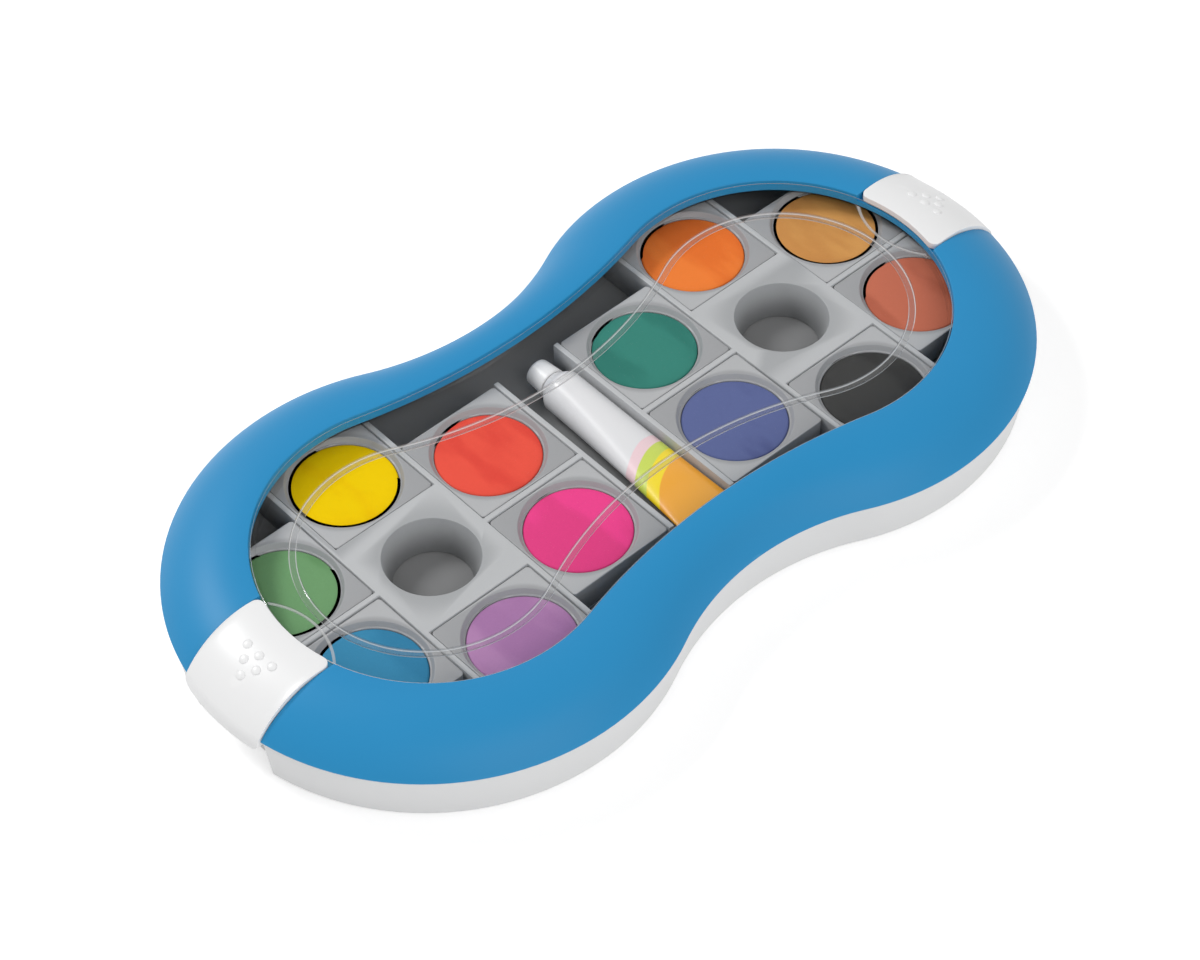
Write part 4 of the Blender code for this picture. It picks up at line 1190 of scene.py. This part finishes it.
def tube_enamel():
    material, tree, shader = new_material("tube_enamel_print")
    place = tree.nodes.new("ShaderNodeTexCoord").outputs["Object"]
    flat = add_node(tree, "ShaderNodeVectorMath", operation="MULTIPLY")
    flat.inputs[1].default_value = (1.0, 1.0, 0.0)
    tree.links.new(place, flat.inputs[0])
    away = add_node(tree, "ShaderNodeVectorMath", operation="DISTANCE")
    away.inputs[1].default_value = PRINT_CENTRE
    tree.links.new(flat.outputs["Vector"], away.inputs[0])
    wave = noise(tree, place, 60.0, 1.0)
    shift = ranged(tree, wave, 0.3, 0.7, -PRINT_WAVE, PRINT_WAVE)
    reach = computed(tree, "ADD", away.outputs["Value"], shift)
    colour = ENAMEL_WHITE
    for radius, band in BANDS:
        mask = ranged(tree, reach, radius, radius + PRINT_SOFT, 1.0, 0.0)
        colour = blended(tree, mask, colour, band)
    skin = place_group(tree, MOULDED_SKIN, Roughness=0.3, Mottle=0.03, Grain=0.15)
    tree.links.new(colour, skin.inputs["Colour"])
    tree.links.new(skin.outputs["Colour"], shader.inputs["Base Color"])
    tree.links.new(skin.outputs["Roughness"], shader.inputs["Roughness"])
    add_bump(tree, shader, skin.outputs["Height"])
    shader.inputs["Coat Weight"].default_value = 0.3
    shader.inputs["Coat Roughness"].default_value = 0.15
    return material


finish_piece(tube, "tube", "tube_body", "base", tube_enamel())

# %% [markdown]
# ## The cap
#
# A small white screw cap, slightly tapered, with a rounded end. Its section is drawn once
# and spun all the way round, which is how any turned piece is made.

# %% The cap
CAP_RADIUS = (cap_high.x - cap_low.x) / 2
CAP_TAPER = 0.45 * MM
CAP_ROUND = 0.9 * MM
CAP_PLAY = 0.35 * MM
CAP_BORE = TUBE_NECK_RADIUS + CAP_PLAY
CAP_DEPTH = 5.75 * MM
CAP_STEPS = 64
CAP_ROUND_STEPS = 5


def make_cap():
    tip = CAP_RADIUS - CAP_TAPER
    end = cap_high.y
    rounding = []
    for index in range(CAP_ROUND_STEPS + 1):
        angle = math.pi / 2 * index / CAP_ROUND_STEPS
        radius = tip - CAP_ROUND + CAP_ROUND * math.sin(angle)
        rounding.append((radius, end - CAP_ROUND + CAP_ROUND * math.cos(angle)))
    half = [(0.0, end)] + rounding
    half += [
        (CAP_RADIUS, cap_low.y + EDGE_ROUND),
        (CAP_RADIUS - EDGE_ROUND, cap_low.y),
        (CAP_BORE, cap_low.y),
        (CAP_BORE, cap_low.y + CAP_DEPTH),
        (0.0, cap_low.y + CAP_DEPTH),
    ]
    piece = empty_piece("cap")
    draw_line([(TUBE_X + radius, y, tube_middle_z) for radius, y in half])
    bpy.ops.mesh.spin(
        steps=CAP_STEPS, angle=math.tau, center=(TUBE_X, 0.0, tube_middle_z), axis=(0, 1, 0)
    )
    bpy.ops.mesh.select_all(action="SELECT")
    bpy.ops.mesh.remove_doubles(threshold=MERGE)
    return close_section(piece)


cap = make_cap()
smooth(cap)
CAP_PLASTIC = plastic("cap_moulding", (0.87, 0.87, 0.875), 0.35, mottle=0.02, grain=0.3)
finish_piece(cap, "cap", "tube_cap", "cap", CAP_PLASTIC)
print("cap faces:", len(cap.data.polygons))

# %% [markdown]
# ## The lid's ring
#
# The blue ring is a dome in section: an arc that falls from its crest near the window to
# the rim. Outlines taken along that arc, each between the window's shape and the rim's, are
# bridged into the top, and more of them make the underside, the lip that drops into the
# base and the wall round the window. Where a latch lies, its seat is cut out.

# %% The ring
FRAME_THICK = 2.0 * MM
FRAME_INNER_WALL = 1.2 * MM
FRAME_INNER_DROP = 4.0 * MM
FRAME_LIP_THICK = 1.5 * MM
FRAME_LIP_DROP = 1.8 * MM
DOME_CREST_RUN = 2.9 * MM
DOME_RISE = 10.7 * MM
DOME_STEPS = 22
UNDER_STEPS = 10
INNER_ROUND = 0.35 * MM
ROUND_STEPS = 4

DOME_CREST_HEIGHT = FRAME_RIM_HEIGHT + FRAME_EDGE + DOME_RISE
DOME_CREST_RADIUS = WINDOW_RADIUS + DOME_CREST_RUN
DOME_RUN = RIM_RADIUS - DOME_CREST_RADIUS
DOME_RADIUS = (DOME_RUN**2 + DOME_RISE**2) / (2 * DOME_RISE)
LIP_INSET = BASE_SET_BACK + BASE_WALL + GAP


def dome_height(radius, below=0.0):
    run = radius - DOME_CREST_RADIUS
    return DOME_CREST_HEIGHT - DOME_RADIUS + math.sqrt((DOME_RADIUS - below) ** 2 - run**2)


def dome_run(height, below=0.0):
    drop = height - DOME_CREST_HEIGHT + DOME_RADIUS
    return DOME_CREST_RADIUS + math.sqrt((DOME_RADIUS - below) ** 2 - drop**2)


def share_of(radius):
    return (radius - WINDOW_RADIUS) / FRAME_WIDTH


def on_dome(radius, height):
    return (mixed(share_of(radius)), 0.0, height)


def dome_angles(start, end, below, steps):
    """Radii spaced evenly along the dome's arc."""
    reach = DOME_RADIUS - below
    first = math.asin((start - DOME_CREST_RADIUS) / reach)
    last = math.asin((end - DOME_CREST_RADIUS) / reach)
    for index in range(steps + 1):
        angle = first + (last - first) * index / steps
        yield DOME_CREST_RADIUS + reach * math.sin(angle)


def ring_stations():
    foot = DOME_CREST_HEIGHT - FRAME_INNER_DROP
    inner = WINDOW_RADIUS + FRAME_INNER_WALL
    lip_inner = LIP_INSET + FRAME_LIP_THICK
    lip_foot = FRAME_RIM_HEIGHT - FRAME_LIP_DROP
    stations = [on_dome(WINDOW_RADIUS, foot)]
    crest = dome_height(WINDOW_RADIUS + INNER_ROUND)
    for index in range(ROUND_STEPS):
        angle = math.pi / 2 * index / ROUND_STEPS
        radius = WINDOW_RADIUS + INNER_ROUND * (1 - math.cos(angle))
        stations.append(on_dome(radius, crest - INNER_ROUND * (1 - math.sin(angle))))
    for radius in dome_angles(WINDOW_RADIUS + INNER_ROUND, RIM_RADIUS, 0.0, DOME_STEPS):
        stations.append(on_dome(radius, dome_height(radius)))
    stations.append((RIM, 0.0, FRAME_RIM_HEIGHT + FRAME_EDGE / 3))
    stations.append((RIM, FRAME_EDGE / 3, FRAME_RIM_HEIGHT))
    stations.append((RIM, LIP_INSET, FRAME_RIM_HEIGHT))
    stations.append((RIM, LIP_INSET, lip_foot))
    stations.append((RIM, lip_inner, lip_foot))
    stations.append((RIM, lip_inner, dome_height(RIM_RADIUS - lip_inner, FRAME_THICK)))
    under_end = RIM_RADIUS - lip_inner - FRAME_THICK
    for radius in dome_angles(under_end, inner, FRAME_THICK, UNDER_STEPS):
        stations.append(on_dome(radius, dome_height(radius, FRAME_THICK)))
    stations.append(on_dome(inner, foot))
    return stations


ring = stack("ring", ring_stations(), closed=True)
print("ring faces:", len(ring.data.polygons))

# %% Seats for the latches
LATCH_THICK = 2.0 * MM
LATCH_PROUD = 0.5 * MM
LATCH_CORNER = 3.0 * MM
LATCH_SEAT = 8.2 * MM
SEAT_ARC_STEPS = 192


def end_cutter(radius, low, high):
    """A block over one end of the ring, hollowed where it follows the window's arc."""
    centre = WINDOW[0] + share_of(radius) * (RIM[0] - WINDOW[0])
    far = LOBE_X + RIM_RADIUS + OVERRUN
    piece = block((centre + radius - OVERRUN, -RECESS_HALF, low), (far, RECESS_HALF, high))
    middle = (centre, 0.0, (low + high) / 2)
    arc = rod(middle, radius, high - low + OVERRUN, vertices=SEAT_ARC_STEPS)
    combine(piece, arc, "DIFFERENCE")
    return piece


def seat_support():
    """Solid under the dome that becomes the floor and the side walls of a seat."""
    inner = WINDOW_RADIUS + FRAME_INNER_WALL / 2
    outer = WINDOW_RADIUS + LATCH_SEAT + OVERLAP
    half = RECESS_HALF + FRAME_INNER_WALL
    bottom = DOME_CREST_HEIGHT - FRAME_INNER_DROP
    top = dome_height(outer, FRAME_THICK / 2)
    centre = WINDOW[0]
    piece = rod((centre, 0.0, (bottom + top) / 2), outer, top - bottom, vertices=SEAT_ARC_STEPS)
    core = rod(
        (centre, 0.0, (bottom + top) / 2), inner, top - bottom + OVERRUN,
        vertices=SEAT_ARC_STEPS,
    )
    combine(piece, core, "DIFFERENCE")
    window = block(
        (centre + WINDOW_RADIUS / 2, -half, bottom - OVERRUN),
        (centre + outer + OVERRUN, half, top + OVERRUN),
    )
    combine(piece, window, "INTERSECT")
    return piece


seat_end = WINDOW_RADIUS + LATCH_SEAT
seat_top = dome_height(seat_end, LATCH_THICK - LATCH_PROUD) - GAP
above = DOME_CREST_HEIGHT + OVERRUN
for side in (-1, 1):
    tools = (
        (seat_support(), "UNION"),
        (end_cutter(WINDOW_RADIUS - OVERLAP, seat_top, above), "DIFFERENCE"),
        (end_cutter(seat_end, 0.0, above), "DIFFERENCE"),
        (recess_block(1, BASE_WALL + GAP, 0.0, FRAME_RIM_HEIGHT), "DIFFERENCE"),
    )
    for tool, operation in tools:
        combine(ring, on_side(side, tool), operation)
smooth(ring, 30.0)
print("ring faces with its seats:", len(ring.data.polygons))

BLUE_PLASTIC = plastic(
    "blue_moulding", (0.021, 0.272, 0.560), 0.45, mottle=0.03, grain=0.8,
    edge_colour=(0.10, 0.42, 0.70), edge_amount=0.2, gloss=0.25,
)
finish_piece(ring, "ring", "lid_frame", "lid", BLUE_PLASTIC)

# %% [markdown]
# ## The window
#
# The window is a clear plate with a skirt and a flange that holds it under the ring. On its
# underside runs a raised loop, which keeps the paint from running to the edge when the lid
# serves as a palette, and a short curved rib at each latch. Its upper edge and the loop's
# edges get a small rounding, which catches the light.

# %% The window
WINDOW_TOP = window_high.z
WINDOW_PLATE = 1.5 * MM
WINDOW_SKIRT = 1.2 * MM
WINDOW_EDGE = 0.3 * MM
RIDGE_SHIFT = 1.0 * MM
RIDGE_INSET = 13.1 * MM
RIDGE_WAIST_INSET = 19.8 * MM
RIDGE_HALF_WIDTH = 1.1 * MM
RIDGE_TAPER = 0.3 * MM
RIDGE_DEPTH = 1.2 * MM
RIDGE_ROUND = 0.15 * MM
THUMB_ARC_OUT = 14.4 * MM
THUMB_ARC_RADIUS = 22.5 * MM
THUMB_ARC_HALF_WIDTH = 0.4 * MM
THUMB_ARC_DEPTH = 0.5 * MM

RIDGE = (LOBE_X + RIDGE_SHIFT, WINDOW_RADIUS - RIDGE_INSET, WINDOW[2] - RIDGE_WAIST_INSET)
UNDERSIDE = WINDOW_TOP - WINDOW_PLATE
RIDGE_FOOT = UNDERSIDE - RIDGE_DEPTH


def window_stations():
    skirt_foot = DOME_CREST_HEIGHT - FRAME_INNER_DROP - GAP
    flange_foot = skirt_foot - WINDOW_SKIRT
    inner_foot = RIDGE_HALF_WIDTH - RIDGE_TAPER
    return [
        (WINDOW, GAP + WINDOW_EDGE, WINDOW_TOP),
        (WINDOW, GAP + WINDOW_EDGE / 3, WINDOW_TOP - WINDOW_EDGE / 3),
        (WINDOW, GAP, WINDOW_TOP - WINDOW_EDGE),
        (WINDOW, GAP, WINDOW_TOP - 2 * WINDOW_EDGE),
        (WINDOW, GAP, skirt_foot),
        (WINDOW, -WINDOW_FLANGE, skirt_foot),
        (WINDOW, -WINDOW_FLANGE, flange_foot),
        (WINDOW, GAP + WINDOW_SKIRT, flange_foot),
        (WINDOW, GAP + WINDOW_SKIRT, UNDERSIDE),
        (RIDGE, -RIDGE_HALF_WIDTH, UNDERSIDE),
        (RIDGE, -inner_foot - RIDGE_ROUND, RIDGE_FOOT + RIDGE_ROUND),
        (RIDGE, -inner_foot + RIDGE_ROUND, RIDGE_FOOT),
        (RIDGE, inner_foot - RIDGE_ROUND, RIDGE_FOOT),
        (RIDGE, inner_foot + RIDGE_ROUND, RIDGE_FOOT + RIDGE_ROUND),
        (RIDGE, RIDGE_HALF_WIDTH, UNDERSIDE),
    ]


def thumb_rib():
    """A short curved rib from skirt to skirt round the right latch."""
    middle_x = WINDOW[0] + WINDOW_RADIUS + THUMB_ARC_OUT
    skirt = WINDOW_RADIUS - GAP - WINDOW_SKIRT / 2
    low = UNDERSIDE - THUMB_ARC_DEPTH
    high = UNDERSIDE + WINDOW_EDGE
    centre = (middle_x, 0.0, (low + high) / 2)
    piece = rod(
        centre, THUMB_ARC_RADIUS + THUMB_ARC_HALF_WIDTH, high - low, vertices=SEAT_ARC_STEPS
    )
    core = rod(
        centre, THUMB_ARC_RADIUS - THUMB_ARC_HALF_WIDTH, high - low + OVERRUN,
        vertices=SEAT_ARC_STEPS,
    )
    combine(piece, core, "DIFFERENCE")
    inside = rod(
        (WINDOW[0], 0.0, (low + high) / 2), skirt, high - low + OVERRUN,
        vertices=SEAT_ARC_STEPS,
    )
    combine(piece, inside, "INTERSECT")
    return piece


window = stack("window", window_stations())
for side in (-1, 1):
    combine(window, on_side(side, thumb_rib()), "UNION")
smooth(window, 25.0)
print("window faces:", len(window.data.polygons))


# %% [markdown]
# ## Clear plastic
#
# Clear plastic hardly shows on its faces. What the eye sees of it are its edges: each
# rounded edge catches light as a thin pale line, and here that line is a painted highlight.
# Every such edge of the window lies at a height of its own, so its vertices are found by
# their height and get an attribute, a share of painted highlight. The material is
# see-through where the attribute is zero, apart from the gloss that any plastic has at a
# flat angle, and painted pale where it is high.

# %% Edges with a painted highlight
LIT_HEIGHTS = {
    "top edge": WINDOW_TOP - WINDOW_EDGE / 3,
    "side edge": WINDOW_TOP - WINDOW_EDGE,
    "ridge edge": RIDGE_FOOT + RIDGE_ROUND,
    "ridge foot": RIDGE_FOOT,
    "thumb rib": UNDERSIDE - THUMB_ARC_DEPTH,
}
LIGHT_SHARES = {
    "top edge": 1.0, "side edge": 0.6, "ridge edge": 0.9, "ridge foot": 0.25, "thumb rib": 0.6
}


def light_edges(piece):
    """Notes on each vertex the share of painted highlight that its edge gets."""
    light = piece.data.attributes.new("edge_light", "FLOAT", "POINT")
    for vertex, mark in zip(piece.data.vertices, light.data):
        for name, height in LIT_HEIGHTS.items():
            if abs(vertex.co.z - height) < MERGE:
                mark.value = LIGHT_SHARES[name]
    return sum(mark.value > 0.0 for mark in light.data)


print("vertices on lit edges:", light_edges(window), "of", len(window.data.vertices))

# %% See-through material
EDGE_ALPHA = 0.95
GLOSS_ALPHA = 0.35
GLOSS_POWER = 4.0
SCUFF_PER_METRE = 900.0
CLEAR_TINT = (0.02, 0.022, 0.023, 1.0)
PAINTED_EDGE_HIGHLIGHT = (0.93, 0.94, 0.945, 1.0)


def clear_plastic():
    """Clear plastic that lets the light of lamps and sky through to what lies under it."""
    material, tree, shader = new_material("clear_moulding")
    mark = add_node(tree, "ShaderNodeAttribute", attribute_name="edge_light").outputs["Fac"]
    facing = add_node(tree, "ShaderNodeLayerWeight").outputs["Facing"]
    gloss = computed(tree, "POWER", facing, GLOSS_POWER)
    sheen = computed(tree, "MULTIPLY", gloss, GLOSS_ALPHA)
    lit = computed(tree, "MULTIPLY", mark, EDGE_ALPHA)
    tree.links.new(computed(tree, "ADD", sheen, lit), shader.inputs["Alpha"])
    # Painted highlight: where the attribute is high the colour is a pale tint, standing in for
    # light caught by the edge
    tree.links.new(blended(tree, mark, CLEAR_TINT, PAINTED_EDGE_HIGHLIGHT), shader.inputs["Base Color"])
    place = tree.nodes.new("ShaderNodeTexCoord").outputs["Object"]
    scuff = noise(tree, place, SCUFF_PER_METRE, 3.0)
    tree.links.new(ranged(tree, scuff, 0.45, 0.8, 0.04, 0.12), shader.inputs["Roughness"])
    shader.inputs["IOR"].default_value = PLASTIC_IOR
    clear = add_node(tree, "ShaderNodeBsdfTransparent")
    path = add_node(tree, "ShaderNodeLightPath")
    mix = add_node(tree, "ShaderNodeMixShader")
    let_through = computed(
        tree, "MAXIMUM", path.outputs["Is Shadow Ray"], path.outputs["Is Diffuse Ray"]
    )
    tree.links.new(let_through, mix.inputs[0])
    tree.links.new(shader.outputs[0], mix.inputs[1])
    tree.links.new(clear.outputs[0], mix.inputs[2])
    tree.links.new(mix.outputs[0], tree.nodes["Material Output"].inputs["Surface"])
    return material


finish_piece(window, "window", "lid_window", "lid", clear_plastic())

# %% [markdown]
# ## The latches
#
# A latch is a flap that lies on the dome and bends over the rim into a short leg. From the
# leg's foot an arm runs inwards to a barrel with two stub pins, hidden in the recess. Flap
# and leg are drawn as one thin strip and pulled sideways in steps, each step shifted and
# shortened so that the strip keeps to the round ring and its corners turn. A block with two
# rounded corners then trims the leg's foot. Six small grip dots stand on it in a triangle.

# %% Flap, leg and pins
FLAP_STEPS = 16
FLAP_ROUND = 0.45 * MM
LATCH_LEG = 3.7 * MM
LATCH_ARM = 1.4 * MM
KNEE_ROUND = 1.6 * MM
TRIM_PLAY = 0.05 * MM
LATCH_FOOT = FRAME_RIM_HEIGHT - LATCH_LEG
LATCH_STRAIGHT = LATCH_HALF_WIDTH - LATCH_CORNER
CORNER_SEGMENTS = 8
STRAIGHT_SHARES = (0.25, 0.5, 0.75, 1.0)
CORNER_SHARES = (0.3, 0.55, 0.75, 0.9, 0.97, 1.0)


def lobe_point(radius, y):
    centre = WINDOW[0] + share_of(radius) * (RIM[0] - WINDOW[0])
    return centre + math.sqrt(radius**2 - y**2)


def flap_ends(y):
    """Where the flap's strip starts and ends along X at one distance from the middle."""
    beyond = max(0.0, y - LATCH_STRAIGHT)
    corner = LATCH_CORNER - math.sqrt(max(0.0, LATCH_CORNER**2 - beyond**2))
    end = dome_run(FRAME_RIM_HEIGHT, -LATCH_PROUD)
    return lobe_point(WINDOW_RADIUS + corner, y), lobe_point(end, y)


def flap_section():
    """Points of the strip's section: out along the top, round the leg, and back below."""
    points = []
    for below, outwards in ((-LATCH_PROUD, True), (LATCH_THICK - LATCH_PROUD, False)):
        end = dome_run(FRAME_RIM_HEIGHT, below)
        radii = list(dome_angles(WINDOW_RADIUS, end, below, FLAP_STEPS))
        side = [(lobe_point(radius, 0.0), 0.0, dome_height(radius, below)) for radius in radii]
        side.append((lobe_point(end, 0.0), 0.0, LATCH_FOOT - OVERLAP))
        points += side if outwards else reversed(side)
    return points


def make_flap():
    piece = draw_section("flap", flap_section())
    ys = [LATCH_STRAIGHT * share for share in STRAIGHT_SHARES]
    ys += [LATCH_STRAIGHT + LATCH_CORNER * share for share in CORNER_SHARES]
    before_y = 0.0
    for y in ys:
        before_start, before_end = flap_ends(before_y)
        start, end = flap_ends(y)
        pull((end - before_end, y - before_y, 0.0))
        factor = (end - start) / (before_end - before_start)
        scale_about((end, y, 0.0), (factor, 1.0, 1.0))
        before_y = y
    pick(piece, "faces", lambda face: abs(face.calc_center_median().y) < MERGE)
    bpy.ops.mesh.delete(type="FACE")
    leave_edit()
    apply_place(piece)
    apply_modifier(
        piece, "MIRROR", use_axis=(False, True, False), use_clip=True, merge_threshold=MERGE
    )
    edit(piece, "VERT")
    close_section(piece)
    return piece


def round_knee(piece):
    """Rounds the crease where the flap bends over the rim into the leg."""

    def at_knee(edge):
        outer = dome_run(FRAME_RIM_HEIGHT, -LATCH_PROUD) - LATCH_THICK / 2
        return all(
            abs(vertex.co.z - FRAME_RIM_HEIGHT) < MERGE
            and vertex.co.x > lobe_point(outer, vertex.co.y)
            for vertex in edge.verts
        )

    edit(piece, "EDGE")
    pick(piece, "edges", at_knee)
    bpy.ops.mesh.bevel(offset=KNEE_ROUND, segments=5)
    leave_edit()


def foot_trimmer():
    """A block round the whole latch whose two lower corners are rounded."""
    half = LATCH_HALF_WIDTH + TRIM_PLAY
    far = LOBE_X + RIM_RADIUS + OVERRUN
    piece = block((WINDOW_RADIUS, -half, LATCH_FOOT), (far, half, DOME_CREST_HEIGHT + OVERRUN))
    edit(piece, "EDGE")
    pick(
        piece, "edges",
        lambda edge: all(v.co.z < LATCH_FOOT + MERGE for v in edge.verts)
        and abs(edge.verts[0].co.y - edge.verts[1].co.y) < MERGE,
    )
    bpy.ops.mesh.bevel(offset=LATCH_CORNER, segments=CORNER_SEGMENTS)
    leave_edit()
    return piece


latch_right = make_flap()
round_knee(latch_right)
combine(latch_right, foot_trimmer(), "INTERSECT")
round_edges(latch_right, FLAP_ROUND, segments=4, degrees=45.0)
arm_top = right_pin.z + BARREL_RADIUS
leg_face = lobe_point(dome_run(FRAME_RIM_HEIGHT, LATCH_THICK - LATCH_PROUD), 0.0)
arm = block(
    (right_pin.x, -LATCH_STRAIGHT, arm_top - LATCH_ARM),
    (leg_face + OVERLAP, LATCH_STRAIGHT, arm_top),
)
combine(latch_right, arm, "UNION")
pin_centre = (right_pin.x, 0.0, right_pin.z)
barrel = rod(pin_centre, BARREL_RADIUS, 2 * LATCH_HALF_WIDTH, axis="Y", vertices=48)
combine(latch_right, barrel, "UNION")
stubs = rod(pin_centre, PIN_RADIUS, 2 * PIN_HALF_LENGTH, axis="Y", vertices=PIN_SIDES)
combine(latch_right, stubs, "UNION")
print("latch faces:", len(latch_right.data.polygons))

# %% Grip dots
DOT_PITCH = 5.0 * MM
DOT_ROW_STEP = 3.05 * MM
DOT_RADIUS = 1.35 * MM
DOT_HEIGHT = 0.5 * MM
DOT_FIRST_RUN = 9.6 * MM
DOT_ROWS = 3
DOT_FIRST_RADIUS = WINDOW_RADIUS + DOT_FIRST_RUN


def add_dot(latch, radius, y):
    """A low round bump, sunk by half into the flap and tilted to its surface."""
    x = lobe_point(radius, y)
    run = radius - DOME_CREST_RADIUS
    reach = DOME_RADIUS + LATCH_PROUD
    tilt = math.asin(run / reach)
    place = (x, y, dome_height(radius, -LATCH_PROUD))
    deselect_all()
    bpy.ops.mesh.primitive_uv_sphere_add(
        segments=24, ring_count=16, radius=DOT_RADIUS, location=place,
        rotation=(0.0, tilt, 0.0), scale=(1.0, 1.0, DOT_HEIGHT / DOT_RADIUS),
    )
    dot = bpy.context.object
    apply_place(dot)
    combine(latch, dot, "UNION")


for row in range(DOT_ROWS):
    radius = DOT_FIRST_RADIUS + row * DOT_ROW_STEP
    in_row = DOT_ROWS - row
    for index in range(in_row):
        add_dot(latch_right, radius, (index - (in_row - 1) / 2) * DOT_PITCH)
edit(latch_right, "VERT")
merge_and_fill()
close_section(latch_right)
smooth(latch_right, 40.0)
latch_left = mirrored_copy(latch_right, "latch_left")
smooth(latch_left, 40.0)

LATCH_PLASTIC = plastic("latch_moulding", (0.90, 0.902, 0.905), 0.32, mottle=0.015, grain=0.3)
for piece, side, body in (
    (latch_left, "left", "left_latch"), (latch_right, "right", "right_latch")
):
    finish_piece(
        piece, f"flap_latch_{side}", f"latch_{side}", body, LATCH_PLASTIC
    )

# %% [markdown]
# ## Floor, light and camera
#
# The box is shown on white paper. The floor is a plain pale plane that the camera sees as
# white wherever nothing shades it. The light is a broad sky, a small lamp behind the far
# long side, which throws the ring's shadow over the pans next to it, and a large soft lamp
# in front. The camera looks down at the box from one corner through a long lens.

# %% The floor
FLOOR_SIZE = 6.0
FLOOR_DROP = 0.05 * MM
PAPER_GLOW = 0.45
PAPER_GREY = (0.80, 0.80, 0.80, 1.0)


def seen_directly(tree):
    """One where the camera sees a surface, also in gloss or through the window."""
    path = add_node(tree, "ShaderNodeLightPath")
    seen = computed(tree, "MAXIMUM", path.outputs["Is Camera Ray"], path.outputs["Is Glossy Ray"])
    seen = computed(tree, "MAXIMUM", seen, path.outputs["Is Transmission Ray"])
    direct = computed(tree, "LESS_THAN", path.outputs["Diffuse Depth"], 0.5)
    return computed(tree, "MULTIPLY", seen, direct)


def floor_material():
    material, tree, shader = new_material("white_paper")
    shader.inputs["Roughness"].default_value = 0.9
    shader.inputs["Base Color"].default_value = PAPER_GREY
    shader.inputs["Specular IOR Level"].default_value = 0.0
    glow = computed(tree, "MULTIPLY", seen_directly(tree), PAPER_GLOW)
    shader.inputs["Emission Color"].default_value = (1.0, 1.0, 1.0, 1.0)
    tree.links.new(glow, shader.inputs["Emission Strength"])
    return material


deselect_all()
bpy.ops.mesh.primitive_plane_add(size=FLOOR_SIZE, location=(0.0, 0.0, -FLOOR_DROP))
floor = bpy.context.object
floor.name = "paper_floor"
floor.data.materials.append(floor_material())

# %% The light
SKY_STRENGTH = 0.44
KEY_TURN = math.radians(-21.0)
KEY_HEIGHT = math.radians(44.0)
KEY_DISTANCE = 1.3
KEY_SIZE = 0.34
KEY_POWER = 7.2
FILL_TURN = math.radians(190.0)
FILL_HEIGHT = math.radians(35.0)
FILL_DISTANCE = 1.6
FILL_SIZE = 1.4
FILL_POWER = 10.5


def make_sky():
    world = bpy.data.worlds.new("studio")
    bpy.context.scene.world = world
    world.use_nodes = True
    tree = world.node_tree
    sky = tree.nodes["Background"]
    sky.inputs["Color"].default_value = (1.0, 1.0, 1.0, 1.0)
    strength = ranged(tree, seen_directly(tree), 0.0, 1.0, SKY_STRENGTH, 1.0)
    tree.links.new(strength, sky.inputs["Strength"])


def direction_at(turn, height):
    """A direction out of the box; turn is counted from +Y towards +X, height from the floor."""
    return Vector((
        math.sin(turn) * math.cos(height), math.cos(turn) * math.cos(height), math.sin(height)
    ))


def add_lamp(name, turn, height, distance, size, power):
    """A square lamp aimed at the box."""
    direction = direction_at(turn, height)
    lamp = bpy.data.lights.new(name, "AREA")
    lamp.size = size
    lamp.energy = power
    thing = bpy.data.objects.new(name, lamp)
    bpy.context.scene.collection.objects.link(thing)
    thing.location = direction * distance
    thing.rotation_euler = direction.to_track_quat("Z", "Y").to_euler()


make_sky()
add_lamp("key_lamp", KEY_TURN, KEY_HEIGHT, KEY_DISTANCE, KEY_SIZE, KEY_POWER)
add_lamp("fill_lamp", FILL_TURN, FILL_HEIGHT, FILL_DISTANCE, FILL_SIZE, FILL_POWER)

# %% The camera
CAMERA_TURN = math.radians(222.27)
CAMERA_HEIGHT = math.radians(48.69)
CAMERA_ROLL = math.radians(-0.33)
CAMERA_DISTANCE = 899.5 * MM
CAMERA_AIM = Vector((-13.06 * MM, -9.21 * MM, 18.5 * MM))
CAMERA_LENS = 98.94

direction = direction_at(CAMERA_TURN, CAMERA_HEIGHT)
lens = bpy.data.cameras.new("camera")
lens.lens = CAMERA_LENS
camera = bpy.data.objects.new("camera", lens)
bpy.context.scene.collection.objects.link(camera)
camera.location = CAMERA_AIM + direction * CAMERA_DISTANCE
roll = Quaternion((0.0, 0.0, 1.0), CAMERA_ROLL)
camera.rotation_euler = (direction.to_track_quat("Z", "Y") @ roll).to_euler()
bpy.context.scene.camera = camera
bpy.context.scene.view_settings.view_transform = "Standard"
